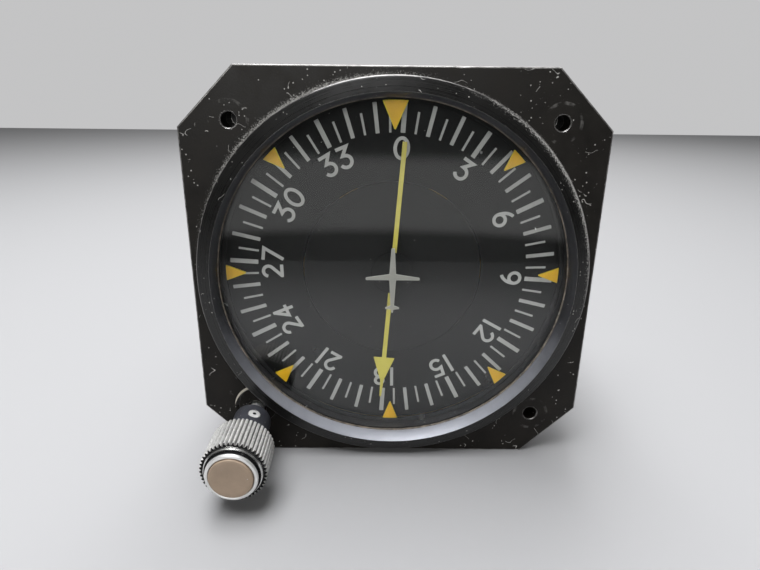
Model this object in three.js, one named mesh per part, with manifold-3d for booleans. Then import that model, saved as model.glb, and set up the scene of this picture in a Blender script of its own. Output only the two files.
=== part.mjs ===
// Automatic direction finder indicator: a panel instrument with a compass card set by hand and a pointer
// turned by a servo. Millimetres. +X is right and +Z is up as the pilot sees the dial, and +Y goes into the
// panel. Inside the instrument's group, Y is the depth behind the flange's front face, and X = Z = 0 on the
// dial's axis. The whole group is then set down so that the flange's lower edge is at Z = 0.
import * as THREE from 'three';
import { mergeVertices } from 'three/addons/utils/BufferGeometryUtils.js';
import Module from 'manifold-3d';

const wasm = await Module();
wasm.setup();

// Clearances shared by all pieces
const fitGap = 0.05;
const runGap = 0.15;
const endPlay = 0.1;
const screwGap = 0.12;
const overrun = 1;

// Facets round a circle, from the largest rings to the smallest pins
const bezelFacets = 64;
const rimFacets = 40;
const ringFacets = 28;
const hubFacets = 16;
const pinFacets = 8;
const hexagonSides = 6;
const windowArcPoints = 4;

// Flange
const flangeWidth = 82.55;
const cornerCut = 11.2;
const flangeThickness = 4.4;
const flangeBevel = 0.3;
const mountHoleInset = 9.84;
const mountHoleRadius = 1.75;

// Bezel ring on the flange; heights are in front of the flange
const bezelMargin = 1.585;
const bezelWidth = 3.75;
const bezelEdgeHeight = 2.2;
const bezelEdgeRound = 0.25;
const bezelRidgeInset = 0.9;
const bezelRidgeHeight = 3.3;
const bezelNoseLength = 2.3;
const bezelNosePoints = 3;
const lipRearHeight = 0.35;

// Glass, its gasket and the spacer behind it
const glassOverlap = 1.66;
const glassThickness = 2;
const glassSeatGap = 0.3;
const gasketThickness = 0.5;
const gasketShow = 0.15;
const spacerWall = 1.2;

// Aircraft figure on the back of the glass
const figureThickness = 0.2;
const noseHeight = 6.3;
const noseHalfWidth = 0.35;
const wingRootHeight = 0.7;
const wingTipHeight = -0.05;
const wingTrailHeight = -0.62;
const wingHalfSpan = 5.65;
const bodyHalfWidth = 0.7;
const tailHalfWidth = 0.38;
const tailRootHeight = -6.35;
const tailTipHeight = -6.72;
const tailTipDrop = 0.36;
const tailTrailHeight = -7.25;
const tailHalfSpan = 1.5;
const stubHalfWidth = 0.2;
const stubHeight = -7.95;

// Index ring with its pointed tabs
const indexRingThickness = 0.4;
const indexRingShow = 0.49;
const indexTabCount = 8;
const indexTabReach = 4.8;
const indexTabWidth = 3.2;
const topTabReach = 5.9;
const topTabWidth = 4.9;

// Dial: card, centre disc and the post that carries them
const cardStandOff = 1.45;
const cardThickness = 0.5;
const cardOverlap = 1.15;
const cardBand = 17.35;
const cardSeam = 0.15;
const centreDiscBore = 2.6;
const postFlangeRadius = 7;
const postFlangeThickness = 0.7;
const postRadius = 4;
const postSpigotRadius = 3;
const postSpigotBeyond = 1.8;
const postBore = 1.1;
const postNutRadius = 4.6;
const postNutThickness = 1.3;

// Card wheel and its pinion on the knob shaft
const cardTeeth = 97;
const knobTeeth = 12;
const cardWheelWidth = 2;
const cardWheelRimWidth = 4.6;
const cardWheelWeb = 0.9;
const cardWheelHubWall = 1.6;
const cardBushWall = 0.9;
const cardWheelWindows = 6;
const cardWheelSpoke = 4.5;
const cardWheelWindowInset = 2.2;
const knobPinionHubRadius = 2.8;

// Shared tooth form, as shares of the module
const addendumShare = 0.95;
const dedendumShare = 1.2;
const backlashShare = 0.2;
const pressureAngle = 20 * Math.PI / 180;
const wheelFlankPoints = 2;
const pinionFlankPoints = 2;

// Pointer
const pointerAngle = 184.3 * Math.PI / 180;
const pointerStandOff = 0.5;
const pointerThickness = 0.35;
const pointerTipInset = 5.25;
const pointerTailInset = 8.05;
const pointerTipLength = 4.2;
const pointerHeadLength = 5.7;
const pointerBarWidth = 0.95;
const pointerHeadWidth = 4.7;
const pointerNeckWidth = 0.75;
const pointerTipWidth = 0.4;
const pointerEyeRadius = 3.2;
const hubCapRadius = 4.5;
const hubCapThickness = 0.4;
const hubBarrelRadius = 1.9;
const pointerShaftRadius = 0.75;
const bearingRadius = 2.3;
const bearingWidth = 1.5;
const bearingGroove = 0.2;

// Gear housing behind the flange
const housingWall = 1.25;
const housingSkirtWall = 0.66;
const housingToothGap = 0.3;
const housingGearSpace = 4.6;
const housingWebThickness = 1.8;
const lugAngles = [30, 150, 210, 330];
const lugStand = 2.09;
const lugRadius = 2.9;
const lugLength = 3.4;
const spigotLength = 3;
const spigotWall = 1.5;
const knobBossWall = 0.95;

// Small screws
const screwRadius = 1.1;
const screwHeadRadius = 2;
const screwHeadLength = 1.3;
const screwBite = 3;
const screwSlotWidth = 0.5;
const screwSlotDepth = 0.6;

// Knob; heights are in front of the flange
const knobAngle = 226.2 * Math.PI / 180;
const knobShaftRadius = 1.6;
const knobShaftBore = 0.85;
const knobShaftBeyond = 1.2;
const knobReliefRadius = 4.7;
const knobReliefDepth = 0.5;
const knobHoleRadius = 2.3;
const knobHoleLip = 2.2;
const knobBearingRadius = 3.2;
const hubRadius = 3.8;
const hubBezelGap = 0.11;
const hubFootHeight = 4.5;
const hubLength = 8.1;
const hubChamfer = 0.3;
const hubSpigotRadius = 2.8;
const hubSpigotLength = 1.9;
const gripRadius = 6.4;
const gripLength = 8.6;
const gripStepHeight = 0.3;
const gripStepRadius = 5.85;
const gripRidges = 46;
const gripRidgeDepth = 0.32;
const gripFloorThickness = 3.8;
const setScrewHeight = 6.8;
const setScrewAngle = 74 * Math.PI / 180;
const setScrewRadius = 1.25;
const setScrewSocket = 0.55;
const setScrewSocketDepth = 0.8;

// Push button in the knob
const buttonRingStand = 1.4;
const buttonRingLength = 4.9;
const buttonRingLip = 2.2;
const buttonRingInner = 4.2;
const buttonRingLand = 0.2;
const buttonRingShoulder = 0.55;
const buttonRingWall = 0.35;
const buttonRingConeLength = 1.2;
const buttonStand = 0.5;
const buttonGap = 0.1;
const buttonFlangeThickness = 0.8;
const buttonDish = 0.15;
const buttonTravel = 1.2;
const buttonSocketDepth = 1.6;
const pushRodRadius = 0.6;
const pushRodBeyond = 1.2;
const springRadius = 2.1;
const springWire = 0.25;
const springTurns = 2.5;
const springStepsPerTurn = 10;
const springSides = 6;
const springSeatGap = 0.15;

// Test switch in its pocket behind the knob shaft
const switchRadius = 4.6;
const switchPocketGap = 0.25;
const switchPocketWall = 1;
const switchPocketFloor = 3.3;
const switchLength = 4.8;
const plungerRadius = 1.2;
const plungerLength = 2.6;
const switchCoverThickness = 1.2;
const switchCoverSpigot = 1.2;

// Servo drive
const servoModule = 0.6;
const pointerGearTeeth = 40;
const idlerPinionTeeth = 12;
const idlerGearTeeth = 30;
const motorPinionTeeth = 12;
const idlerAngle = 20 * Math.PI / 180;
const pointerGearGap = 0.8;
const pointerGearWidth = 1.6;
const pointerGearHubRadius = 3;
const pointerGearWindows = 4;
const pointerGearWindowRadius = 2.2;
const pointerGearWindowCircle = 7;
const idlerPinionWidth = 2.4;
const idlerHubRadius = 2.1;
const idlerGearWidth = 1.4;
const gearSideGap = 0.4;
const idlerArborRadius = 0.75;
const motorPinionWidth = 2.6;
const motorShaftRadius = 0.9;

// Plates, posts and circuit board of the movement
const servoPlateGap = 4;
const servoPlateThickness = 2;
const servoPlateEdgeGap = 1.1;
const framePostInset = 4.2;
const framePostAngles = [90, 210, 330];
const framePostRadius = 2.5;
const framePostStud = 1.1;
const framePostStudLength = 4.5;
const pillarRadius = 3;
const boardGap = 4;
const boardThickness = 1.6;
const boardEdgeGap = 0.9;
const boardHoleRadius = 3;

// Resolver and servo motor
const resolverRadius = 12.5;
const resolverLength = 28;
const resolverNose = 5;
const resolverNoseLength = 1.6;
const resolverBore = 7.5;
const resolverFrontWall = 4;
const resolverGroove = 0.8;
const resolverGrooveWidth = 1.5;
const resolverCapThickness = 2;
const resolverCapSpigot = 2.6;
const rotorRadius = 6.9;
const rotorEndGap = 1.5;
const rotorLength = 14;
const motorSideGap = 1.5;
const motorWallGap = 4.3;
const motorLength = 27;
const motorNose = 4;
const motorShoulder = 1.2;
const motorShaftInside = 14;

// Parts on the circuit board
const transformerWidth = 22;
const transformerHeight = 18;
const transformerLength = 16;
const transformerCoilWidth = 14;
const transformerCoilHeight = 24;
const transformerCoilInset = 2;
const transformerInset = 23.4;
const transformerDrop = 8;
const capacitorRadius = 6;
const capacitorLength = 20;
const capacitorInset = 21.4;
const capacitorRise = 10;
const capacitorRound = 0.8;

// Case
const caseSideGap = 0.45;
const caseWall = 1;
const caseWireSpace = 11.1;
const coverThickness = 2;
const coverSpigot = 2.5;
const coverEdgeRound = 0.6;

// Connector on the rear cover
const shellFlangeWidth = 25;
const shellFlangeThickness = 1.6;
const shellCornerCut = 3;
const shellRadius = 9.6;
const shellWall = 1.2;
const shellLength = 14;
const shellInside = 4;
const shellRibCount = 3;
const shellRibRadius = 0.9;
const shellRibStand = 1.1;
const shellRibInset = 4;
const insertFront = 3;
const contactRadius = 0.6;
const contactLength = 3;
const innerContacts = 6;
const innerContactCircle = 3.4;
const outerContacts = 9;
const outerContactCircle = 6.2;

// Bezel, glass, index ring, card and pointer: each radius follows from the flange's width
const bezelRadius = flangeWidth / 2 - bezelMargin;
const bezelBoreRadius = bezelRadius - bezelWidth;
const bezelRidgeRadius = bezelBoreRadius + bezelRidgeInset;
const glassRadius = bezelBoreRadius + glassOverlap;
const indexRingBore = bezelBoreRadius - indexRingShow;
const cardRadius = indexRingBore + cardOverlap;
const cardBore = cardRadius - cardBand;
const centreDiscRadius = cardBore - cardSeam;
const pointerTipRadius = indexRingBore - pointerTipInset;
const pointerNeckRadius = pointerTipRadius - pointerTipLength;
const pointerHeadRadius = pointerNeckRadius - pointerHeadLength;
const pointerTailRadius = indexRingBore - pointerTailInset;

// Knob's place beside the bezel, and the card's gears, whose module spans the distance to it
const knobCircleRadius = bezelRadius + hubBezelGap + hubRadius;
const knobX = knobCircleRadius * Math.cos(knobAngle);
const knobZ = knobCircleRadius * Math.sin(knobAngle);
const cardModule = 2 * knobCircleRadius / (cardTeeth + knobTeeth);
const cardPitchRadius = cardModule * cardTeeth / 2;
const cardTipRadius = cardPitchRadius + cardModule * addendumShare;
const knobTipRadius = cardModule * (knobTeeth / 2 + addendumShare);

// Housing round the gears, and the case inside the switch pocket
const housingBore = cardTipRadius + housingToothGap;
const housingRadius = housingBore + housingWall;
const housingRabbet = housingRadius - housingSkirtWall;
const indexRingRadius = housingRabbet - fitGap;
const lugCircleRadius = housingRadius + lugStand;
const knobBossRadius = knobTipRadius + housingToothGap + knobBossWall;
const switchPocketRadius = switchRadius + switchPocketGap;
const switchPocketOuter = switchPocketRadius + switchPocketWall;
const caseRadius = knobCircleRadius - switchPocketOuter - caseSideGap;
const caseBore = caseRadius - caseWall;
const spigotRadius = caseBore - fitGap;
const servoPlateRadius = caseBore - servoPlateEdgeGap;
const boardRadius = caseBore - boardEdgeGap;
const postCircleRadius = servoPlateRadius - framePostInset;

// Depths from the glass to the housing's web
const glassFront = gasketThickness - lipRearHeight;
const glassRear = glassFront + glassThickness;
const indexRear = flangeThickness + indexRingThickness;
const pointerDepth = indexRear + pointerStandOff;
const pointerRear = pointerDepth + pointerThickness;
const cardDepth = pointerRear + cardStandOff;
const cardRear = cardDepth + cardThickness;
const postFlangeRear = cardRear + postFlangeThickness;
const housingWebDepth = cardRear + housingGearSpace;
const housingRear = housingWebDepth + housingWebThickness;
const postSpigotRear = housingRear + postSpigotBeyond;

// Hub of the card's wheel on its bush
const cardHubFront = postFlangeRear + endPlay;
const cardHubRear = housingWebDepth - endPlay;
const cardBushBore = postRadius + runGap;
const cardBushRadius = cardBushBore + cardBushWall;
const cardHubBore = cardBushRadius + fitGap;
const cardHubRadius = cardHubBore + cardWheelHubWall;

// Guide ring round the button, and the bore that it stands in
const buttonRingPocket = buttonRingInner + buttonRingShoulder;
const buttonRingOuter = buttonRingPocket + buttonRingWall;
const gripBore = buttonRingOuter + fitGap;

// Heights up the knob, from the grip's foot to the button's rim
const gripFootHeight = hubFootHeight + hubLength;
const gripFloorHeight = gripFootHeight + gripFloorThickness;
const gripEdgeHeight = gripFootHeight + gripLength;
const gripTopHeight = gripEdgeHeight + gripStepHeight;
const buttonRingHeight = gripTopHeight + buttonRingStand;
const buttonHeight = buttonRingHeight + buttonStand;

// Button, rod and test switch, from the knob's front to the pocket's rear
const buttonRear = -buttonRingHeight + buttonRingLip + buttonGap + buttonFlangeThickness;
const pushRodEnd = housingRear + pushRodBeyond;
const plungerFront = pushRodEnd + endPlay;
const plungerBoreRear = plungerFront + plungerLength + buttonTravel + endPlay;
const switchDepth = housingRear + switchPocketFloor;
const switchRear = switchDepth + switchLength;
const switchPocketRear = switchRear + switchCoverSpigot + endPlay;

// Servo gears between the housing and the servo plate
const pointerGearDepth = postSpigotRear + pointerGearGap;
const pointerGearRear = pointerGearDepth + pointerGearWidth;
const idlerPinionRear = pointerGearRear + gearSideGap;
const idlerPinionFront = idlerPinionRear - idlerPinionWidth;
const idlerGearRear = idlerPinionRear + idlerGearWidth;
const motorPinionFront = idlerPinionRear + (idlerGearWidth - motorPinionWidth) / 2;
const servoPlateDepth = idlerGearRear + servoPlateGap;
const servoPlateRear = servoPlateDepth + servoPlateThickness;

// Idler and motor round the pointer's axis; the motor fills the room between the resolver and the case
const motorRadius = (caseBore - motorWallGap - motorSideGap - resolverRadius) / 2;
const motorCircleRadius = resolverRadius + motorSideGap + motorRadius;
const idlerCircleRadius = servoModule * (pointerGearTeeth + idlerPinionTeeth) / 2;
const idlerX = idlerCircleRadius * Math.cos(idlerAngle);
const idlerZ = idlerCircleRadius * Math.sin(idlerAngle);
const idlerMotorDistance = servoModule * (idlerGearTeeth + motorPinionTeeth) / 2;
const idlerMotorTurn = Math.acos(
  (idlerCircleRadius ** 2 + motorCircleRadius ** 2 - idlerMotorDistance ** 2) /
  (2 * idlerCircleRadius * motorCircleRadius));
const motorAngle = idlerAngle + idlerMotorTurn;
const motorX = motorCircleRadius * Math.cos(motorAngle);
const motorZ = motorCircleRadius * Math.sin(motorAngle);

// Depths from the servo plate to the connector's rear
const resolverRear = servoPlateRear + resolverLength;
const motorRear = servoPlateRear + motorLength;
const boardDepth = Math.max(resolverRear + resolverCapThickness, motorRear) + boardGap;
const boardRear = boardDepth + boardThickness;
const caseRearDepth = boardRear + Math.max(capacitorLength, transformerLength) + caseWireSpace + shellInside;
const coverRear = caseRearDepth + coverThickness;
const shellFlangeRear = coverRear + shellFlangeThickness;
const shellRear = coverRear + shellLength;
const shellBore = shellRadius - shellWall;
const insertFace = shellFlangeRear + insertFront;

// Geometry helpers

// A manifold solid from any closed three.js geometry, whichever way round its profile was drawn.
function solid(geometry) {
  const bare = geometry.clone();
  bare.deleteAttribute('normal');
  bare.deleteAttribute('uv');
  const merged = mergeVertices(bare);
  const corners = merged.index.array;
  const kept = [];
  for (let i = 0; i < corners.length; i += 3) {
    const [a, b, c] = corners.slice(i, i + 3);
    if (a !== b && b !== c && a !== c) {
      kept.push(a, b, c);
    }
  }
  const points = merged.attributes.position;
  if (signedVolume(points, kept) < 0) {
    kept.reverse();
  }
  return new wasm.Manifold(new wasm.Mesh({
    numProp: 3,
    vertProperties: new Float32Array(points.array),
    triVerts: new Uint32Array(kept),
  }));
}

function signedVolume(points, corners) {
  const [a, b, c] = [new THREE.Vector3(), new THREE.Vector3(), new THREE.Vector3()];
  let total = 0;
  for (let i = 0; i < corners.length; i += 3) {
    a.fromBufferAttribute(points, corners[i]);
    b.fromBufferAttribute(points, corners[i + 1]);
    c.fromBufferAttribute(points, corners[i + 2]);
    total += a.dot(b.cross(c));
  }
  return total;
}

function geometryOf(body) {
  const mesh = body.getMesh();
  const geometry = new THREE.BufferGeometry();
  geometry.setAttribute('position', new THREE.BufferAttribute(new Float32Array(mesh.vertProperties), 3));
  geometry.setIndex(new THREE.BufferAttribute(new Uint32Array(mesh.triVerts), 1));
  geometry.computeVertexNormals();
  return geometry;
}

// Profile points are [radius, depth]; a profile that is off the axis at both ends is closed on itself.
function revolve(profile, facets) {
  const points = profile.map(([radius, depth]) => new THREE.Vector2(radius, depth));
  const first = points[0];
  const last = points[points.length - 1];
  if (first.x > 0 || last.x > 0) {
    points.push(first.clone());
  }
  return solid(new THREE.LatheGeometry(points, facets));
}

function disc(radius, front, rear, facets) {
  return revolve([[0, front], [radius, front], [radius, rear], [0, rear]], facets);
}

function ring(inner, outer, front, rear, facets) {
  return revolve([[inner, front], [outer, front], [outer, rear], [inner, rear]], facets);
}

// An outline in X and Z, as seen from the front, made into a plate between two depths.
function plate(shape, front, rear, bevel = 0) {
  const geometry = new THREE.ExtrudeGeometry(shape, {
    depth: rear - front - 2 * bevel,
    bevelEnabled: bevel > 0,
    bevelThickness: bevel,
    bevelSize: bevel,
    bevelOffset: -bevel,
    bevelSegments: 1,
    curveSegments: pinFacets,
    steps: 1,
  });
  geometry.rotateX(Math.PI / 2);
  geometry.translate(0, rear - bevel, 0);
  return solid(geometry);
}

function outline(points) {
  return new THREE.Shape(points.map(([x, z]) => new THREE.Vector2(x, z)));
}

function circleHole(x, z, radius, facets = pinFacets) {
  const points = [];
  for (let i = 0; i < facets; i++) {
    const turn = -2 * Math.PI * i / facets;
    points.push(new THREE.Vector2(x + radius * Math.cos(turn), z + radius * Math.sin(turn)));
  }
  return new THREE.Path(points);
}

function circleShape(radius, facets) {
  const points = [];
  for (let i = 0; i < facets; i++) {
    const turn = 2 * Math.PI * i / facets;
    points.push([radius * Math.cos(turn), radius * Math.sin(turn)]);
  }
  return outline(points);
}

// A square with four equal corner cuts.
function cutSquare(width, cut) {
  const half = width / 2;
  const inner = half - cut;
  return outline([
    [inner, -half], [half, -inner], [half, inner], [inner, half],
    [-inner, half], [-half, inner], [-half, -inner], [-inner, -half],
  ]);
}

function moved(body, x, z) {
  return body.translate(x, 0, z);
}

function joined(bodies) {
  return bodies.reduce((whole, body) => whole.add(body));
}

function cutBy(body, tools) {
  return tools.reduce((rest, tool) => rest.subtract(tool), body);
}

function polar(radius, degrees) {
  const turn = degrees * Math.PI / 180;
  return [radius * Math.cos(turn), radius * Math.sin(turn)];
}

// Spur gear outline with involute flanks; one tooth is centred on the given angle.
function gearShape(teeth, module, toothAngle, flankPoints) {
  const pitch = teeth * module / 2;
  const base = pitch * Math.cos(pressureAngle);
  const tip = pitch + module * addendumShare;
  const root = pitch - module * dedendumShare;
  const involute = (angle) => Math.tan(angle) - angle;
  const halfTooth = Math.PI / (2 * teeth) - backlashShare * module / (2 * pitch);
  const start = Math.max(base, root);
  const halfAngleAt = (radius) => {
    const pressure = Math.acos(Math.min(1, base / radius));
    return halfTooth + involute(pressureAngle) - involute(pressure);
  };
  const points = [];
  for (let tooth = 0; tooth < teeth; tooth++) {
    const centre = toothAngle + 2 * Math.PI * tooth / teeth;
    const flank = [];
    for (let i = 0; i < flankPoints; i++) {
      const radius = start + (tip - start) * i / (flankPoints - 1);
      flank.push([radius, halfAngleAt(radius)]);
    }
    if (root < start) {
      flank.unshift([root, halfAngleAt(start)]);
    }
    for (const [radius, half] of flank) {
      points.push([radius * Math.cos(centre - half), radius * Math.sin(centre - half)]);
    }
    for (const [radius, half] of flank.reverse()) {
      points.push([radius * Math.cos(centre + half), radius * Math.sin(centre + half)]);
    }
  }
  return outline(points);
}

// The angle of a tooth on a driven gear so that it meshes with a gear whose tooth is at driverTooth.
function meshingTooth(driverTeeth, driverTooth, teeth, directionAngle) {
  return directionAngle + Math.PI + ((directionAngle - driverTooth) * driverTeeth - Math.PI) / teeth;
}

// Finishes: colour, roughness and metalness
function finish(color, roughness, metalness) {
  return () => new THREE.MeshStandardMaterial({ color, roughness, metalness });
}
const blackPaint = finish(0x23201c, 0.45, 0.2);
const dialBlack = finish(0x1d1f1e, 0.8, 0);
const dialCentre = finish(0x252725, 0.85, 0);
const clearGlass = () => new THREE.MeshStandardMaterial({
  color: 0xdfe6e2, roughness: 0.05, metalness: 0, transparent: true, opacity: 0.25,
});
const creamRubber = finish(0xb3a88c, 0.8, 0);
const markYellow = finish(0xdca418, 0.5, 0);
const pointerYellow = finish(0xc2b93c, 0.5, 0);
const figureGrey = finish(0xb6b5aa, 0.6, 0);
const aluminium = finish(0xb9bab8, 0.4, 1);
const castAluminium = finish(0x8f8f8b, 0.6, 0.8);
const blueBlack = finish(0x2c313a, 0.4, 0.5);
const steel = finish(0xa9abad, 0.3, 1);
const brightSteel = finish(0xd8d8d4, 0.25, 1);
const brass = finish(0xb08d45, 0.35, 1);
const bronze = finish(0x9a6c3c, 0.4, 1);
const tanPlastic = finish(0x87735f, 0.55, 0);
const blackPlastic = finish(0x161616, 0.55, 0);
const boardGreen = finish(0x2d5a34, 0.6, 0);
const bluePlastic = finish(0x28406e, 0.5, 0);
const olive = finish(0x4d5138, 0.5, 0.6);

const indicator = new THREE.Group();
const dial = new THREE.Group();
const knob = new THREE.Group();
const idler = new THREE.Group();
const motor = new THREE.Group();
knob.position.set(knobX, 0, knobZ);
idler.position.set(idlerX, 0, idlerZ);
motor.position.set(motorX, 0, motorZ);
dial.add(knob, idler, motor);
indicator.add(dial);

function place(parent, name, body, material) {
  const mesh = new THREE.Mesh(geometryOf(body), material());
  mesh.name = name;
  parent.add(mesh);
  return mesh;
}

// Flange and bezel

function mountHolePlaces() {
  const half = flangeWidth / 2 - mountHoleInset;
  return [[-half, half], [half, half], [half, -half]];
}

// The bezel's rounded nose, a quarter of an oval from its ridge down into the bore
function bezelNose() {
  const points = [];
  for (let i = 0; i <= bezelNosePoints; i++) {
    const turn = Math.PI / 2 * i / bezelNosePoints;
    points.push([
      bezelRidgeRadius - bezelRidgeInset * Math.sin(turn),
      -bezelRidgeHeight + bezelNoseLength * (1 - Math.cos(turn)),
    ]);
  }
  return points;
}

function flangeCasting() {
  const shape = cutSquare(flangeWidth, cornerCut);
  for (const [x, z] of mountHolePlaces()) {
    shape.holes.push(circleHole(x, z, mountHoleRadius, hubFacets));
  }
  let body = plate(shape, 0, flangeThickness, flangeBevel);
  const relief = disc(knobReliefRadius, -overrun, knobReliefDepth, ringFacets);
  body = body.subtract(moved(relief, knobX, knobZ));
  const bezel = revolve([
    [bezelBoreRadius - overrun, flangeThickness / 2],
    [bezelRadius, flangeThickness / 2],
    [bezelRadius, -bezelEdgeHeight + bezelEdgeRound],
    [bezelRadius - bezelEdgeRound, -bezelEdgeHeight],
    ...bezelNose(),
    [bezelBoreRadius - overrun, -bezelRidgeHeight + bezelNoseLength],
  ], bezelFacets);
  body = body.add(bezel);
  const seatRadius = glassRadius + glassSeatGap;
  const bore = disc(bezelBoreRadius, -bezelRidgeHeight - overrun, flangeThickness, bezelFacets);
  const glassSeat = disc(seatRadius, -lipRearHeight, flangeThickness + overrun, rimFacets);
  const knobHole = revolve([
    [0, -overrun],
    [knobHoleRadius, -overrun],
    [knobHoleRadius, knobHoleLip],
    [knobBearingRadius + fitGap, knobHoleLip],
    [knobBearingRadius + fitGap, flangeThickness + overrun],
    [0, flangeThickness + overrun],
  ], hubFacets);
  const screwHoles = lugAngles.map((degrees) => moved(
    disc(screwRadius + screwGap, flangeThickness - screwBite - endPlay, flangeThickness + overrun, pinFacets),
    ...polar(lugCircleRadius, degrees)));
  return cutBy(body, [bore, glassSeat, moved(knobHole, knobX, knobZ), ...screwHoles]);
}

place(dial, 'flange_casting', flangeCasting(), blackPaint);

// Glass with its gasket and spacer
place(dial, 'glass_gasket',
  ring(bezelBoreRadius - gasketShow, glassRadius, -lipRearHeight, glassFront, rimFacets), creamRubber);
place(dial, 'cover_glass', disc(glassRadius, glassFront, glassRear, rimFacets), clearGlass);
place(dial, 'glass_spacer',
  ring(glassRadius - spacerWall, glassRadius, glassRear, flangeThickness, rimFacets), blackPlastic);

// Aircraft figure

function aircraftFigure() {
  const right = [
    [noseHalfWidth, noseHeight],
    [bodyHalfWidth, wingRootHeight],
    [wingHalfSpan, wingTipHeight],
    [wingHalfSpan, wingTrailHeight],
    [bodyHalfWidth, wingTrailHeight],
    [tailHalfWidth, tailRootHeight],
    [tailHalfSpan, tailTipHeight],
    [tailHalfSpan, tailTipHeight - tailTipDrop],
    [stubHalfWidth, tailTrailHeight],
    [stubHalfWidth, stubHeight],
  ];
  const left = right.map(([x, z]) => [-x, z]).reverse();
  return plate(outline([...right, ...left].reverse()), glassRear, glassRear + figureThickness);
}

place(dial, 'aircraft_symbol', aircraftFigure(), figureGrey);

// Index ring: an annulus with pointed tabs that reach inward over the card

function indexRing() {
  const annulus = ring(indexRingBore, indexRingRadius, flangeThickness, indexRear, rimFacets);
  const tabs = [];
  for (let i = 0; i < indexTabCount; i++) {
    const tip = indexRingBore - (i === 0 ? topTabReach : indexTabReach);
    const halfWidth = (i === 0 ? topTabWidth : indexTabWidth) / 2;
    const root = (indexRingBore + indexRingRadius) / 2;
    const spread = halfWidth * (root - tip) / (indexRingBore - tip);
    const tab = plate(outline([[-spread, root], [0, tip], [spread, root]]), flangeThickness, indexRear);
    tabs.push(tab.rotate([0, 360 * i / indexTabCount, 0]));
  }
  return joined([annulus, ...tabs]);
}

place(dial, 'index_ring', indexRing(), markYellow);

// Compass card on its wheel

place(dial, 'compass_card',
  ring(cardBore, cardRadius, cardDepth, cardRear, rimFacets), dialBlack);

function cardWheel() {
  const rimInner = cardPitchRadius - cardWheelRimWidth;
  const rear = cardRear + cardWheelWidth;
  const teeth = gearShape(cardTeeth, cardModule, 0, wheelFlankPoints);
  teeth.holes.push(circleHole(0, 0, rimInner, rimFacets));
  const rim = plate(teeth, cardRear, rear);
  const web = ring(cardHubBore, rimInner + cardModule, rear - cardWheelWeb, rear, ringFacets);
  const hub = ring(cardHubBore, cardHubRadius, cardHubFront, cardHubRear, hubFacets);
  const windowInner = cardHubRadius + cardWheelWindowInset;
  const windowOuter = rimInner - cardWheelWindowInset;
  const windows = [];
  for (let i = 0; i < cardWheelWindows; i++) {
    const centre = 2 * Math.PI * (i + 1 / 2) / cardWheelWindows;
    const points = [];
    for (const [radius, sense] of [[windowOuter, 1], [windowInner, -1]]) {
      const half = Math.PI / cardWheelWindows - cardWheelSpoke / (2 * radius);
      for (let j = 0; j <= windowArcPoints; j++) {
        const turn = centre + sense * half * (2 * j / windowArcPoints - 1);
        points.push([radius * Math.cos(turn), radius * Math.sin(turn)]);
      }
    }
    windows.push(plate(outline(points), cardDepth, rear + overrun));
  }
  return cutBy(joined([rim, web, hub]), windows);
}

place(dial, 'card_gear', cardWheel(), brass);
place(dial, 'card_bushing', ring(cardBushBore, cardBushRadius, cardHubFront, cardHubRear, hubFacets), bronze);

// Fixed middle of the dial and the post behind it
place(dial, 'centre_disc',
  ring(centreDiscBore, centreDiscRadius, cardDepth, cardRear, ringFacets), dialCentre);

function dialPost() {
  return revolve([
    [bearingRadius + fitGap, cardRear],
    [postFlangeRadius, cardRear],
    [postFlangeRadius, postFlangeRear],
    [postRadius, postFlangeRear],
    [postRadius, housingWebDepth],
    [postSpigotRadius, housingWebDepth],
    [postSpigotRadius, postSpigotRear],
    [postBore, postSpigotRear],
    [postBore, cardRear + bearingWidth + endPlay],
    [bearingRadius + fitGap, cardRear + bearingWidth + endPlay],
  ], hubFacets);
}

place(dial, 'dial_post', dialPost(), aluminium);

function hexNut() {
  const shape = circleShape(postNutRadius, hexagonSides);
  shape.holes.push(circleHole(0, 0, postSpigotRadius + fitGap, hubFacets));
  return plate(shape, housingRear, housingRear + postNutThickness);
}

place(dial, 'post_nut', hexNut(), steel);

// Shielded ball bearings for the pointer shaft, each as one ring with the groove of its front shield
function ballBearing(front) {
  const rear = front + bearingWidth;
  const bore = pointerShaftRadius + runGap;
  const groove = (bore + bearingRadius) / 2;
  return revolve([
    [bore, front],
    [groove - bearingGroove, front],
    [groove - bearingGroove, front + bearingGroove],
    [groove + bearingGroove, front + bearingGroove],
    [groove + bearingGroove, front],
    [bearingRadius, front],
    [bearingRadius, rear],
    [bore, rear],
  ], pinFacets);
}

place(dial, 'front_bearing', ballBearing(cardRear), steel);

// Gear housing

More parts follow.
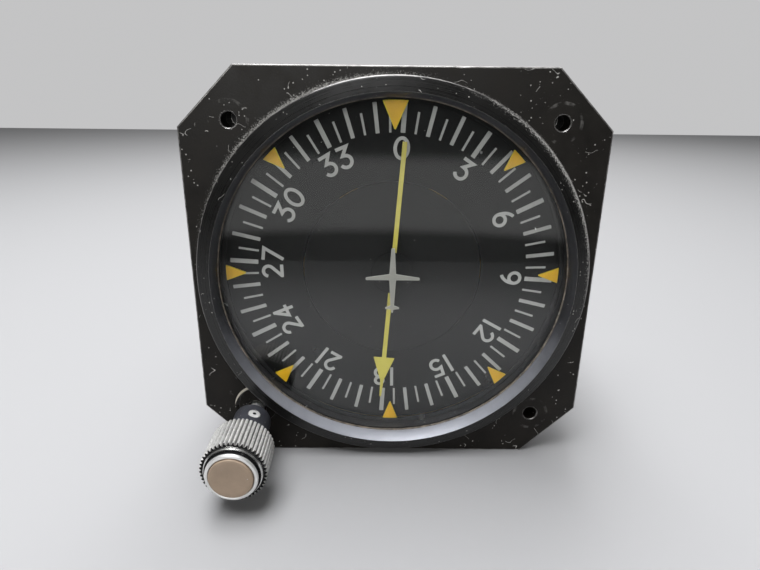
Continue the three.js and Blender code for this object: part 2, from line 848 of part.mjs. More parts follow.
function gearHousing() {
  const wall = revolve([
    [0, indexRear],
    [housingRadius, indexRear],
    [housingRadius, housingRear],
    [0, housingRear],
  ], rimFacets);
  const skirt = ring(housingRabbet, housingRadius, flangeThickness, indexRear + overrun, rimFacets);
  const spigotRear = housingRear + spigotLength;
  const spigot = ring(spigotRadius - spigotWall, spigotRadius, housingWebDepth, spigotRear, rimFacets);
  const boss = moved(disc(knobBossRadius, flangeThickness, housingRear, hubFacets), knobX, knobZ);
  const pocketWall = disc(switchPocketOuter, housingWebDepth, switchPocketRear, hubFacets);
  const lugs = lugAngles.map((degrees) => moved(
    disc(lugRadius, flangeThickness, flangeThickness + lugLength, pinFacets),
    ...polar(lugCircleRadius, degrees)));
  const pillars = framePostAngles.map((degrees) => moved(
    disc(pillarRadius, housingWebDepth, servoPlateDepth, pinFacets), ...polar(postCircleRadius, degrees)));
  const whole = joined([wall, skirt, spigot, boss, moved(pocketWall, knobX, knobZ), ...lugs, ...pillars]);
  const rabbetBore = disc(housingRabbet, flangeThickness - overrun, indexRear, rimFacets);
  const wheelBore = disc(housingBore, flangeThickness - overrun, housingWebDepth, rimFacets);
  const pinionSpace = knobTipRadius + housingToothGap;
  const pinionBore = disc(pinionSpace, flangeThickness - overrun, housingWebDepth, hubFacets);
  const shaftBore = disc(knobShaftRadius + runGap, 0, switchPocketRear, hubFacets);
  const pocket = disc(switchPocketRadius, housingRear, switchPocketRear + overrun, hubFacets);
  const postHole = disc(postSpigotRadius + fitGap, 0, housingRear + overrun, hubFacets);
  const arborHole = disc(idlerArborRadius + fitGap, 0, housingRear + overrun, pinFacets);
  const tappedFront = servoPlateDepth - framePostStudLength - overrun;
  const tappedHoles = framePostAngles.map((degrees) => moved(
    disc(framePostStud + fitGap, tappedFront, servoPlateDepth + overrun, pinFacets),
    ...polar(postCircleRadius, degrees)));
  const lugHoles = lugAngles.map((degrees) => moved(
    disc(screwRadius + screwGap, 0, housingRear, pinFacets), ...polar(lugCircleRadius, degrees)));
  return cutBy(whole, [
    rabbetBore, wheelBore, postHole, ...tappedHoles, ...lugHoles,
    moved(arborHole, idlerX, idlerZ),
    moved(pinionBore, knobX, knobZ), moved(shaftBore, knobX, knobZ), moved(pocket, knobX, knobZ),
  ]);
}

place(dial, 'gear_housing', gearHousing(), castAluminium);

// Slotted cheese-head screw whose head sits at the given depth and whose shank points forward
function rearScrew(headFront, shankLength) {
  const headRear = headFront + screwHeadLength;
  const body = revolve([
    [0, headFront - shankLength],
    [screwRadius, headFront - shankLength],
    [screwRadius, headFront],
    [screwHeadRadius, headFront],
    [screwHeadRadius, headRear],
    [0, headRear],
  ], pinFacets);
  const half = screwSlotWidth / 2;
  const reach = screwHeadRadius + overrun;
  const slot = plate(
    outline([[-reach, -half], [reach, -half], [reach, half], [-reach, half]]),
    headRear - screwSlotDepth, headRear + overrun);
  return body.subtract(slot);
}

lugAngles.forEach((degrees, index) => {
  const head = flangeThickness + lugLength;
  const screw = rearScrew(head, lugLength + screwBite);
  place(dial, `housing_screw_${index + 1}`, moved(screw, ...polar(lugCircleRadius, degrees)), steel);
});

// Pointer, turned to the bearing that the dial shows

function pointerBlade() {
  const bar = pointerBarWidth / 2;
  const right = [
    [bar, -pointerTailRadius],
    [bar, pointerHeadRadius],
    [pointerHeadWidth / 2, pointerHeadRadius],
    [pointerNeckWidth / 2, pointerNeckRadius],
    [pointerTipWidth / 2, pointerTipRadius],
  ];
  const left = right.map(([x, z]) => [-x, z]).reverse();
  const blade = plate(outline([...right, ...left]), pointerDepth, pointerRear);
  const eye = disc(pointerEyeRadius, pointerDepth, pointerRear, hubFacets);
  return cutBy(blade.add(eye), [disc(hubBarrelRadius + fitGap, 0, cardDepth, hubFacets)]);
}

const blade = place(dial, 'needle', pointerBlade(), pointerYellow);
blade.rotation.y = pointerAngle;

function pointerHub() {
  const bore = pointerShaftRadius + fitGap;
  const seat = pointerDepth - fitGap;
  const rear = cardDepth - runGap;
  return revolve([
    [0, seat - hubCapThickness],
    [hubCapRadius, seat - hubCapThickness],
    [hubCapRadius, seat],
    [hubBarrelRadius, seat],
    [hubBarrelRadius, rear],
    [bore, rear],
    [bore, seat],
    [0, seat],
  ], hubFacets);
}

place(dial, 'needle_hub', pointerHub(), blackPlastic);
place(dial, 'pointer_shaft', disc(pointerShaftRadius, pointerDepth, resolverRear, pinFacets), steel);

function pointerGear() {
  const bore = pointerShaftRadius + fitGap;
  const teeth = gearShape(pointerGearTeeth, servoModule, idlerAngle, wheelFlankPoints);
  teeth.holes.push(circleHole(0, 0, bore));
  const wheel = plate(teeth, pointerGearDepth, pointerGearRear);
  const hubRear = servoPlateDepth - overrun;
  const hub = ring(bore, pointerGearHubRadius, pointerGearRear - overrun, hubRear, pinFacets);
  const windows = [];
  for (let i = 0; i < pointerGearWindows; i++) {
    const [x, z] = polar(pointerGearWindowCircle, 360 * i / pointerGearWindows);
    const window = disc(
      pointerGearWindowRadius, pointerGearDepth - overrun, pointerGearRear + overrun, pinFacets);
    windows.push(moved(window, x, z));
  }
  return cutBy(wheel.add(hub), windows);
}

place(dial, 'pointer_gear', pointerGear(), brass);

// Knob, built round its own axis

function knurledGrip() {
  const points = [];
  for (let i = 0; i < 2 * gripRidges; i++) {
    const turn = Math.PI * i / gripRidges;
    const radius = i % 2 === 0 ? gripRadius : gripRadius - gripRidgeDepth;
    points.push([radius * Math.cos(turn), radius * Math.sin(turn)]);
  }
  const knurl = plate(outline(points), -gripEdgeHeight, -gripFootHeight);
  const step = disc(gripStepRadius, -gripTopHeight, -gripEdgeHeight + overrun, ringFacets);
  const bore = revolve([
    [0, -gripTopHeight - overrun],
    [gripBore, -gripTopHeight - overrun],
    [gripBore, -gripFloorHeight],
    [knobShaftBore, -gripFloorHeight],
    [knobShaftBore, -gripFootHeight - hubSpigotLength - endPlay],
    [hubSpigotRadius + fitGap, -gripFootHeight - hubSpigotLength - endPlay],
    [hubSpigotRadius + fitGap, -gripFootHeight + overrun],
    [0, -gripFootHeight + overrun],
  ], ringFacets);
  return knurl.add(step).subtract(bore);
}

place(knob, 'knob_grip', knurledGrip(), aluminium);

// A cylinder across the hub's axis, from one distance to another, towards the set screw's side
function crossPin(radius, inner, outer, facets) {
  const pin = disc(radius, inner, outer, facets).rotate([90, 0, 0]);
  const turn = 90 - setScrewAngle * 180 / Math.PI;
  return pin.rotate([0, turn, 0]).translate(0, -setScrewHeight, 0);
}

function knobHub() {
  const bore = knobShaftRadius + fitGap;
  const body = revolve([
    [bore, -hubFootHeight],
    [hubRadius - hubChamfer, -hubFootHeight],
    [hubRadius, -hubFootHeight - hubChamfer],
    [hubRadius, -gripFootHeight],
    [hubSpigotRadius, -gripFootHeight],
    [hubSpigotRadius, -gripFootHeight - hubSpigotLength],
    [bore, -gripFootHeight - hubSpigotLength],
  ], hubFacets);
  const screwHole = crossPin(setScrewRadius + screwGap, knobShaftRadius / 2, hubRadius + overrun, hubFacets);
  return body.subtract(screwHole);
}

place(knob, 'knob_hub', knobHub(), blueBlack);

function setScrew() {
  const inner = knobShaftRadius + screwGap;
  const body = crossPin(setScrewRadius, inner, hubRadius, pinFacets);
  const socket = crossPin(setScrewSocket, hubRadius - setScrewSocketDepth, hubRadius + overrun, hexagonSides);
  return body.subtract(socket);
}

place(knob, 'set_screw', setScrew(), brightSteel);
const knobShaftFront = -gripFootHeight - hubSpigotLength;
const knobShaftRear = housingWebDepth + knobShaftBeyond;
place(knob, 'knob_shaft',
  ring(knobShaftBore, knobShaftRadius, knobShaftFront, knobShaftRear, hubFacets), brightSteel);
place(knob, 'knob_bearing',
  ring(knobShaftRadius + runGap, knobBearingRadius, knobHoleLip, flangeThickness, hubFacets), bronze);

function knobPinion() {
  const bore = knobShaftRadius + fitGap;
  const toothAngle = meshingTooth(cardTeeth, 0, knobTeeth, knobAngle);
  const teeth = gearShape(knobTeeth, cardModule, toothAngle, pinionFlankPoints);
  teeth.holes.push(circleHole(0, 0, bore, hubFacets));
  const wheel = plate(teeth, cardRear, cardRear + cardWheelWidth);
  const hubFront = flangeThickness + endPlay;
  const hub = ring(bore, knobPinionHubRadius, hubFront, housingWebDepth - endPlay, hubFacets);
  return wheel.add(hub);
}

place(knob, 'knob_pinion', knobPinion(), brass);

// Push button, its guide ring, rod and return spring

function buttonRing() {
  const rear = -buttonRingHeight + buttonRingLength;
  const step = -buttonRingHeight + buttonRingLip;
  return revolve([
    [buttonRingInner, step],
    [buttonRingInner, -buttonRingHeight],
    [buttonRingInner + buttonRingLand, -buttonRingHeight],
    [buttonRingOuter, -buttonRingHeight + buttonRingConeLength],
    [buttonRingOuter, rear],
    [buttonRingPocket, rear],
    [buttonRingPocket, step],
  ], ringFacets);
}

place(knob, 'button_ring', buttonRing(), brightSteel);

function testButton() {
  const capRadius = buttonRingInner - buttonGap;
  const step = buttonRear - buttonFlangeThickness;
  const socket = pushRodRadius + fitGap;
  return revolve([
    [0, -buttonHeight + buttonDish],
    [capRadius - 2 * buttonDish, -buttonHeight],
    [capRadius, -buttonHeight + buttonDish],
    [capRadius, step],
    [buttonRingPocket - buttonGap, step],
    [buttonRingPocket - buttonGap, buttonRear],
    [socket, buttonRear],
    [socket, buttonRear - buttonSocketDepth],
    [0, buttonRear - buttonSocketDepth],
  ], hubFacets);
}

place(knob, 'test_button', testButton(), tanPlastic);
const pushRodFront = buttonRear - buttonSocketDepth + fitGap;
place(knob, 'push_rod', disc(pushRodRadius, pushRodFront, pushRodEnd, pinFacets), steel);

class SpringCurve extends THREE.Curve {
  getPoint(t, target = new THREE.Vector3()) {
    const front = buttonRear + springSeatGap + springWire;
    const rear = -gripFloorHeight - springSeatGap - springWire;
    const depth = front + (rear - front) * t;
    const turn = 2 * Math.PI * springTurns * t;
    return target.set(springRadius * Math.cos(turn), depth, springRadius * Math.sin(turn));
  }
}

function buttonSpring() {
  const section = [];
  for (let i = 0; i < springSides; i++) {
    const turn = 2 * Math.PI * i / springSides;
    section.push([springWire * Math.cos(turn), springWire * Math.sin(turn)]);
  }
  return solid(new THREE.ExtrudeGeometry(outline(section), {
    steps: springTurns * springStepsPerTurn,
    bevelEnabled: false,
    extrudePath: new SpringCurve(),
  }));
}

place(knob, 'button_spring', buttonSpring(), steel);

// Test switch, pressed by the rod's end

function testSwitch() {
  return revolve([
    [plungerRadius + runGap, switchDepth],
    [switchRadius, switchDepth],
    [switchRadius, switchRear],
    [0, switchRear],
    [0, plungerBoreRear],
    [plungerRadius + runGap, plungerBoreRear],
  ], hubFacets);
}

place(knob, 'test_switch', testSwitch(), blackPlastic);
place(knob, 'switch_plunger',
  disc(plungerRadius, plungerFront, plungerFront + plungerLength, pinFacets), creamRubber);

function switchCover() {
  return revolve([
    [0, switchRear + endPlay],
    [switchPocketRadius - fitGap, switchRear + endPlay],
    [switchPocketRadius - fitGap, switchPocketRear],
    [switchPocketOuter, switchPocketRear],
    [switchPocketOuter, switchPocketRear + switchCoverThickness],
    [0, switchPocketRear + switchCoverThickness],
  ], hubFacets);
}

place(knob, 'switch_cover', switchCover(), castAluminium);

// Servo plate on the housing's pillars, and the posts behind it

function servoPlate() {
  const shape = circleShape(servoPlateRadius, ringFacets);
  shape.holes.push(circleHole(0, 0, resolverNose + fitGap, hubFacets));
  shape.holes.push(circleHole(motorX, motorZ, motorNose + fitGap, hubFacets));
  shape.holes.push(circleHole(idlerX, idlerZ, idlerArborRadius + fitGap));
  for (const degrees of framePostAngles) {
    shape.holes.push(circleHole(...polar(postCircleRadius, degrees), framePostStud + fitGap));
  }
  return plate(shape, servoPlateDepth, servoPlateRear);
}

place(dial, 'servo_plate', servoPlate(), aluminium);

// Hexagonal post with a threaded stud at its front end and a tapped hole at its rear end
function framePost(front, rear, studLength) {
  const hexagon = plate(circleShape(framePostRadius, hexagonSides), front, rear);
  const stud = disc(framePostStud, front - studLength, front + overrun, pinFacets);
  const hole = disc(framePostStud + fitGap, rear - framePostStudLength - overrun, rear + overrun, pinFacets);
  return hexagon.add(stud).subtract(hole);
}

const postRows = [
  { name: 'middle_post', front: servoPlateRear, rear: boardDepth,
    stud: servoPlateThickness + framePostStudLength },
  { name: 'rear_post', front: boardRear, rear: caseRearDepth, stud: boardThickness + framePostStudLength },
];
for (const row of postRows) {
  framePostAngles.forEach((degrees, index) => {
    const post = framePost(row.front, row.rear, row.stud);
    place(dial, `${row.name}_${index + 1}`, moved(post, ...polar(postCircleRadius, degrees)), aluminium);
  });
}

// Idler: pinion and wheel in one piece, turning on a fixed arbor
place(idler, 'idler_arbor',
  disc(idlerArborRadius, housingWebDepth + endPlay, servoPlateRear - endPlay, pinFacets), steel);

const idlerPinionTooth = meshingTooth(pointerGearTeeth, idlerAngle, idlerPinionTeeth, idlerAngle);

function idlerGear() {
  const bore = idlerArborRadius + runGap;
  const pinionTeeth = gearShape(idlerPinionTeeth, servoModule, idlerPinionTooth, pinionFlankPoints);
  const pinion = plate(pinionTeeth, idlerPinionFront, idlerPinionRear + overrun);
  const wheelTeeth = gearShape(idlerGearTeeth, servoModule, idlerPinionTooth, wheelFlankPoints);
  const wheel = plate(wheelTeeth, idlerPinionRear, idlerGearRear);
  const hub = disc(idlerHubRadius, idlerPinionRear, servoPlateDepth - gearSideGap, pinFacets);
  const arborBore = disc(bore, idlerPinionFront - overrun, servoPlateDepth, pinFacets);
  return joined([pinion, wheel, hub]).subtract(arborBore);
}

place(idler, 'idler_gear', idlerGear(), brass);

// Servo motor, whose shaft has the pinion cut on it

function motorShaft() {
  const direction = Math.atan2(motorZ - idlerZ, motorX - idlerX);
  const toothAngle = meshingTooth(idlerGearTeeth, idlerPinionTooth, motorPinionTeeth, direction);
  const teeth = gearShape(motorPinionTeeth, servoModule, toothAngle, pinionFlankPoints);
  const pinion = plate(teeth, motorPinionFront, motorPinionFront + motorPinionWidth);
  return pinion.add(disc(motorShaftRadius, motorPinionFront, servoPlateRear + motorShaftInside, pinFacets));
}

place(motor, 'motor_shaft', motorShaft(), steel);

function servoMotor() {
  const bore = motorShaftRadius + runGap;
  return revolve([
    [bore, servoPlateDepth],
    [motorNose, servoPlateDepth],
    [motorNose, servoPlateRear],
    [motorRadius - motorShoulder, servoPlateRear],
    [motorRadius - motorShoulder, servoPlateRear + motorShoulder],
    [motorRadius, servoPlateRear + motorShoulder],
    [motorRadius, motorRear - motorShoulder],
    [motorRadius - motorShoulder, motorRear],
    [0, motorRear],
    [0, servoPlateRear + motorShaftInside + endPlay],
    [bore, servoPlateRear + motorShaftInside + endPlay],
  ], hubFacets);
}

place(motor, 'servo_motor', servoMotor(), castAluminium);

// Resolver on the pointer shaft

function resolverBody() {
  const front = servoPlateRear;
  const groove = resolverRadius - resolverGroove;
  return revolve([
    [pointerShaftRadius + runGap, front - resolverNoseLength],
    [resolverNose, front - resolverNoseLength],
    [resolverNose, front],
    [resolverRadius, front],
    [resolverRadius, front + resolverGrooveWidth],
    [groove, front + resolverGrooveWidth],
    [groove, front + 2 * resolverGrooveWidth],
    [resolverRadius, front + 2 * resolverGrooveWidth],
    [resolverRadius, resolverRear],
    [resolverBore, resolverRear],
    [resolverBore, front + resolverFrontWall],
    [pointerShaftRadius + runGap, front + resolverFrontWall],
  ], hubFacets);
}

place(dial, 'resolver_body', resolverBody(), castAluminium);

function resolverCap() {
  const rear = resolverRear + resolverCapThickness;
  const spigotFront = resolverRear - resolverCapSpigot;
  return revolve([
    [bearingRadius + fitGap, spigotFront],
    [resolverBore - fitGap, spigotFront],
    [resolverBore - fitGap, resolverRear],
    [resolverRadius, resolverRear],
    [resolverRadius, rear],
    [0, rear],
    [0, resolverRear + endPlay],
    [bearingRadius + fitGap, resolverRear + endPlay],
  ], hubFacets);
}

place(dial, 'resolver_cap', resolverCap(), castAluminium);
place(dial, 'rear_bearing', ballBearing(resolverRear - bearingWidth), steel);

const rotorFront = servoPlateRear + resolverFrontWall + rotorEndGap;
place(dial, 'resolver_rotor',
  ring(pointerShaftRadius + fitGap, rotorRadius, rotorFront, rotorFront + rotorLength, hubFacets), steel);

// Circuit board with its transformer and capacitor

function circuitBoard() {
  const shape = circleShape(boardRadius, ringFacets);
  for (const degrees of framePostAngles) {
    shape.holes.push(circleHole(...polar(postCircleRadius, degrees), framePostStud + fitGap));
  }
  shape.holes.push(circleHole(0, 0, boardHoleRadius, pinFacets));
  return plate(shape, boardDepth, boardRear);
}

place(dial, 'circuit_board', circuitBoard(), boardGreen);

function block(width, height, front, rear) {
  const [x, z] = [width / 2, height / 2];
  return plate(outline([[-x, -z], [x, -z], [x, z], [-x, z]]), front, rear);
}

function transformer() {
  const core = block(transformerWidth, transformerHeight, boardRear, boardRear + transformerLength);
  const coil = block(transformerCoilWidth, transformerCoilHeight,
    boardRear + transformerCoilInset, boardRear + transformerLength - transformerCoilInset);
  return moved(core.add(coil), transformerInset - boardRadius, -transformerDrop);
}

place(dial, 'transformer', transformer(), olive);

function filterCapacitor() {
  const rear = boardRear + capacitorLength;
  return moved(revolve([
    [0, boardRear],
    [capacitorRadius, boardRear],
    [capacitorRadius, rear - capacitorRound],
    [capacitorRadius - capacitorRound, rear],
    [0, rear],
  ], hubFacets), boardRadius - capacitorInset, capacitorRise);
}

place(dial, 'filter_capacitor', filterCapacitor(), bluePlastic);

// Case tube and rear cover
place(dial, 'case_tube', ring(caseBore, caseRadius, housingRear, caseRearDepth, rimFacets), blackPaint);

function rearCover() {
  const body = revolve([
    [0, caseRearDepth],
    [spigotRadius - spigotWall, caseRearDepth],
    [spigotRadius - spigotWall, caseRearDepth - coverSpigot],
    [spigotRadius, caseRearDepth - coverSpigot],
    [spigotRadius, caseRearDepth],
    [caseRadius, caseRearDepth],
    [caseRadius, coverRear - coverEdgeRound],
    [caseRadius - coverEdgeRound, coverRear],
    [0, coverRear],
  ], rimFacets);
  const shellHole = disc(shellRadius + fitGap, caseRearDepth - overrun, coverRear + overrun, ringFacets);
  const screwHoles = framePostAngles.map((degrees) => moved(
    disc(screwRadius + screwGap, caseRearDepth - overrun, coverRear + overrun, pinFacets),
    ...polar(postCircleRadius, degrees)));
  return cutBy(body, [shellHole, ...screwHoles]);
}

place(dial, 'rear_cover', rearCover(), blackPaint);

framePostAngles.forEach((degrees, index) => {
  const screw = rearScrew(coverRear, coverThickness + framePostStudLength);
  const seated = screw.subtract(ring(framePostStud, screwRadius + overrun, 0, caseRearDepth, pinFacets));
  place(dial, `cover_screw_${index + 1}`, moved(seated, ...polar(postCircleRadius, degrees)), steel);
});

// Connector: shell with bayonet pins, and the insert with its contacts

function connectorShell() {
  const flange = plate(cutSquare(shellFlangeWidth, shellCornerCut), coverRear, shellFlangeRear);
  const barrel = disc(shellRadius, caseRearDepth - shellInside, shellRear, ringFacets);
  const ribs = [];
  for (let i = 0; i < shellRibCount; i++) {
    const rib = disc(shellRibRadius, shellBore, shellRadius + shellRibStand, pinFacets).rotate([90, 0, 0]);
    ribs.push(rib.rotate([0, 360 * i / shellRibCount, 0]).translate(0, shellRear - shellRibInset, 0));
  }
  const bore = disc(shellBore, caseRearDepth - shellInside - overrun, shellRear + overrun, ringFacets);
  return joined([flange, barrel, ...ribs]).subtract(bore);
}

place(dial, 'connector_shell', connectorShell(), aluminium);

function contactRing(count, circle) {
  const contacts = [];
  for (let i = 0; i < count; i++) {
    const contact = disc(contactRadius, insertFace - overrun, insertFace + contactLength, hexagonSides);
    contacts.push(moved(contact, ...polar(circle, 360 * i / count)));
  }
  return contacts;
}

function contactInsert() {
  const body = disc(shellBore - fitGap, caseRearDepth - shellInside, insertFace, ringFacets);
  return joined([
    body, ...contactRing(1, 0), ...contactRing(innerContacts, innerContactCircle),
    ...contactRing(outerContacts, outerContactCircle),
  ]);
}

place(dial, 'contact_insert', contactInsert(), blackPlastic);

// The origin is at the middle of the outer box's footprint, level with the flange's lower edge.
dial.position.set(0, (buttonHeight - shellRear) / 2, flangeWidth / 2);

export default indicator;
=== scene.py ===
# %% [markdown]
# # A direction finder indicator for an aircraft's panel
# A square flange carries a round bezel with a glass. Behind the glass, a knurled knob turns a compass card
# and a small servo turns a yellow pointer. The frame holds the whole instrument as plain solids, in metres,
# each in its place. This lesson gives every solid a finish, and models again, by hand, each piece that shows.

# %% Load the frame
import math
import bmesh
import bpy
from mathutils import Matrix, Vector


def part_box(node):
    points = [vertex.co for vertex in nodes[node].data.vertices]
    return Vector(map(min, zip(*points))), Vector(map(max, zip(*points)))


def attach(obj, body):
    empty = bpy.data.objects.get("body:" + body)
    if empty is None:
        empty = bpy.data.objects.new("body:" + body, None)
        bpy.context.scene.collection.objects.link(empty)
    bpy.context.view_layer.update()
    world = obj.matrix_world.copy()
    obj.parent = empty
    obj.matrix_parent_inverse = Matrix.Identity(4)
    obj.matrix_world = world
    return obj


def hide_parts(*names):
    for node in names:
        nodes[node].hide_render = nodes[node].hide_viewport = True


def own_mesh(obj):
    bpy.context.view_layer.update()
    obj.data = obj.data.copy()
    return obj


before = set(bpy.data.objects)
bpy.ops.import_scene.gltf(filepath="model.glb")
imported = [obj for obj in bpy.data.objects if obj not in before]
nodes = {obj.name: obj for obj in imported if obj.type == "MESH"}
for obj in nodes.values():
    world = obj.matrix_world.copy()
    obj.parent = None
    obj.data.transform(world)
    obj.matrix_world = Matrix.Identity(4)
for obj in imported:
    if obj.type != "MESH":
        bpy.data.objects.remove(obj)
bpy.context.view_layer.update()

MM = 0.001

# %% [markdown]
# ## Where things are
# Every size below is in millimetres, with the depth counted from the flange's front face and the middle of
# the dial at zero. The frame says where that face and that middle are, so a piece lands where its plain solid
# stands.

# %% Find the dial's axis, the flange's front and the knob's axis
FLANGE_THICKNESS = 4.4
flange_low, flange_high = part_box("flange_casting")
disc_low, disc_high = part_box("centre_disc")
hub_low, hub_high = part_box("knob_hub")
DIAL = Vector((0, flange_high.y - FLANGE_THICKNESS * MM, (disc_low.z + disc_high.z) / 2))


def front_of(node):
    """The depth of a plain solid's front, in millimetres behind the flange's front face."""
    return (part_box(node)[0].y - DIAL.y) / MM


def rear_of(node):
    return (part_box(node)[1].y - DIAL.y) / MM


KNOB_X = (hub_low.x + hub_high.x) / 2 / MM
KNOB_Z = ((hub_low.z + hub_high.z) / 2 - DIAL.z) / MM
DIAL_AXIS = (DIAL.x, DIAL.z)
KNOB_AXIS = (KNOB_X * MM, DIAL.z + KNOB_Z * MM)
print("dial at", tuple(DIAL), "knob at", KNOB_X, KNOB_Z)

# %% [markdown]
# ## The camera
# The flange is a standard size, so its edges in the photograph give the camera's place, its three directions
# and its lens. The columns of the camera's matrix are its right, its up and its back.

# %% Set the camera
CAMERA_PLACE = DIAL + Vector((-0.003371, -0.109736, 0.037676))
CAMERA_RIGHT = Vector((0.999941, -0.002920, 0.010470))
CAMERA_DOWN = Vector((0.008897, -0.333554, -0.942689))
CAMERA_FORWARD = Vector((0.006245, 0.942726, -0.333509))
camera = bpy.data.objects.new("camera", bpy.data.cameras.new("camera"))
bpy.context.collection.objects.link(camera)
camera.data.lens = 26.64
camera.data.sensor_width = 36
camera.data.sensor_fit = "HORIZONTAL"
camera.data.clip_start = 0.005
turn = Matrix((CAMERA_RIGHT, -CAMERA_DOWN, -CAMERA_FORWARD)).transposed()
camera.matrix_world = Matrix.Translation(CAMERA_PLACE) @ turn.to_4x4()
bpy.context.scene.camera = camera
print("camera at", tuple(camera.location))

# %% [markdown]
# ## Short names for shader nodes
# A finish is a small net of nodes. These helpers add a node with its sockets filled in, so that a finish
# below reads like a recipe. Every pattern reads Object coordinates: the pieces stand unturned at the origin,
# so one metre of pattern is one metre of piece, and a scale of 1000 is one bump to the millimetre.

# %% Node helpers
def put(tree, kind, sockets=None, **settings):
    """A node of that kind, with its settings, and its sockets set to values or joined to other sockets."""
    new = tree.nodes.new("ShaderNode" + kind)
    for name, value in settings.items():
        setattr(new, name, value)
    for name, value in (sockets or {}).items():
        if isinstance(value, bpy.types.NodeSocket):
            tree.links.new(value, new.inputs[name])
        else:
            new.inputs[name].default_value = value
    return new


def sum_of(tree, operation, first, second=0.0, clamp=False):
    """One arithmetic step."""
    return put(tree, "Math", {0: first, 1: second}, operation=operation, use_clamp=clamp).outputs[0]


def span(tree, value, low, high, bottom=0.0, top=1.0):
    """The value, with low to high spread over bottom to top."""
    sockets = {"Value": value, "From Min": low, "From Max": high, "To Min": bottom, "To Max": top}
    return put(tree, "MapRange", sockets).outputs["Result"]


def blended(tree, share, first, second):
    """Two colours, mixed by a share."""
    return put(tree, "Mix", {0: share, 6: first, 7: second}, data_type="RGBA").outputs[2]


def here(tree):
    """Object coordinates."""
    return put(tree, "TexCoord").outputs["Object"]


def rgba(colour):
    return (*colour, 1)


def grey(tone):
    return (tone, tone, tone, 1)


print("node helpers ready")

# %% [markdown]
# ## Floor and light
# Black paint shows mostly what it reflects, so the light decides how it looks. One broad soft lamp hangs
# straight overhead: it draws the bright line along the upper edges, while the bezel's upper slope mirrors only
# the dim room. The pale band on the lower part of the bezel's nose is a painted reflection of that lamp. A
# second one, in front and higher than the camera, lights the dial evenly through the glass. A third, behind,
# keeps the far side from going black. The glass mirrors the floor in its lower half, so the floor's colour is
# painted darker softly towards its front edge, a painted shade, which lies outside the picture. The floor is a
# sheet one metre square, stretched to its size, so its pattern runs from minus a half to a half.

# %% Lay the floor
FLOOR_SIZE = (1.8, 1.1)
FLOOR_FRONT, FLOOR_FADE = -0.19, 0.075
SHEET_FRONT = -0.5
FLOOR_GREY, PAINTED_SHADE_GREY, FLOOR_ROUGH = (0.30, 0.30, 0.305, 1), grey(0.07), 0.9
bpy.ops.mesh.primitive_plane_add(size=1, location=(0, FLOOR_FRONT + FLOOR_SIZE[1] / 2, 0))
floor = bpy.context.object
floor.name = "floor"
floor.scale = (*FLOOR_SIZE, 1)
paper = bpy.data.materials.new("floor_paper")
paper.use_nodes = True
tree = paper.node_tree
skin = tree.nodes["Principled BSDF"]
skin.inputs["Roughness"].default_value = FLOOR_ROUGH
depth = put(tree, "SeparateXYZ", {0: here(tree)}).outputs["Y"]
# The floor's colour goes from its grey to a dark grey over its front edge: a painted shade.
front_shade = span(tree, depth, SHEET_FRONT, SHEET_FRONT + FLOOR_FADE / FLOOR_SIZE[1])
front_shade.node.interpolation_type = "SMOOTHSTEP"
tree.links.new(blended(tree, front_shade, PAINTED_SHADE_GREY, FLOOR_GREY), skin.inputs["Base Color"])
floor.data.materials.append(paper)
print("floor:", FLOOR_SIZE, "metres, from", FLOOR_FRONT)

# %% Hang the lamps
def lamp(name, place, aim, size, watts, colour):
    """A soft lamp, so wide and so high, that faces a point."""
    light = bpy.data.lights.new(name, "AREA")
    light.shape = "RECTANGLE"
    light.size, light.size_y = size
    light.energy = watts
    light.color = colour
    holder = bpy.data.objects.new(name, light)
    bpy.context.collection.objects.link(holder)
    holder.location = place
    holder.rotation_euler = (Vector(aim) - Vector(place)).to_track_quat("-Z", "Y").to_euler()


lamp("overhead", (-0.10, -0.045, 0.66), (0, -0.06, 0.0), (0.80, 0.36), 11.0, (0.98, 0.985, 1.0))
lamp("front_fill", (-0.12, -0.96, 0.215), (0, -0.05, 0.04), (0.60, 0.18), 3.0, (1.0, 0.995, 0.98))
lamp("back_fill", (0.15, 0.60, 0.62), (0, 0.10, 0.0), (0.45, 0.45), 3.0, (1.0, 1.0, 1.0))

# %% Shade the room by height: the glass mirrors a pale band just under eye level, dark on both sides
ROOM_TONES = ((0.0, 0.08), (0.376, 0.08), (0.384, 0.68), (0.436, 0.68), (0.446, 0.10), (0.456, 0.05),
              (0.53, 0.05), (0.60, 0.10), (0.86, 0.12), (1.0, 0.40))
BACKDROP = (0.55, 0.55, 0.555, 1)
room = bpy.data.worlds.new("room")
bpy.context.scene.world = room
room.use_nodes = True
tree = room.node_tree
upward = put(tree, "SeparateXYZ", {0: put(tree, "TexCoord").outputs["Generated"]}).outputs["Z"]
tones = put(tree, "ValToRGB", {0: span(tree, upward, -1.0, 1.0)})
ramp = tones.color_ramp.elements
for i, (position, tone) in enumerate(ROOM_TONES):
    stop = ramp[0] if i == 0 else ramp[-1] if position == 1.0 else ramp.new(position)
    stop.color = grey(tone)
seen = put(tree, "LightPath").outputs["Is Camera Ray"]
tree.links.new(blended(tree, seen, tones.outputs[0], BACKDROP), tree.nodes["Background"].inputs["Color"])
bpy.context.scene.view_settings.view_transform = "Standard"
print("room tones by height:", ROOM_TONES)

# %% [markdown]
# ## Effects that many finishes share
# Handled black paint is never even. It is thin at the edges, where bright metal comes through, and it carries
# dust, lint, hairline scratches and a soft mottle of gloss. Each effect is one node group with its own
# inputs. It puts out a mask or a value, and the finishes decide what to do with it.

# %% Begin a node group, and make noise and measure distances inside it
def effect(name, inputs, output):
    """An empty node group with numbers in and one number out, and its two end nodes."""
    tree = bpy.data.node_groups.new(name, "ShaderNodeTree")
    for label, value in inputs.items():
        socket = tree.interface.new_socket(name=label, in_out="INPUT", socket_type="NodeSocketFloat")
        socket.default_value = value
    tree.interface.new_socket(name=output, in_out="OUTPUT", socket_type="NodeSocketFloat")
    print("effect", name, "takes", list(inputs), "and gives", output)
    return tree, tree.nodes.new("NodeGroupInput").outputs, tree.nodes.new("NodeGroupOutput").inputs


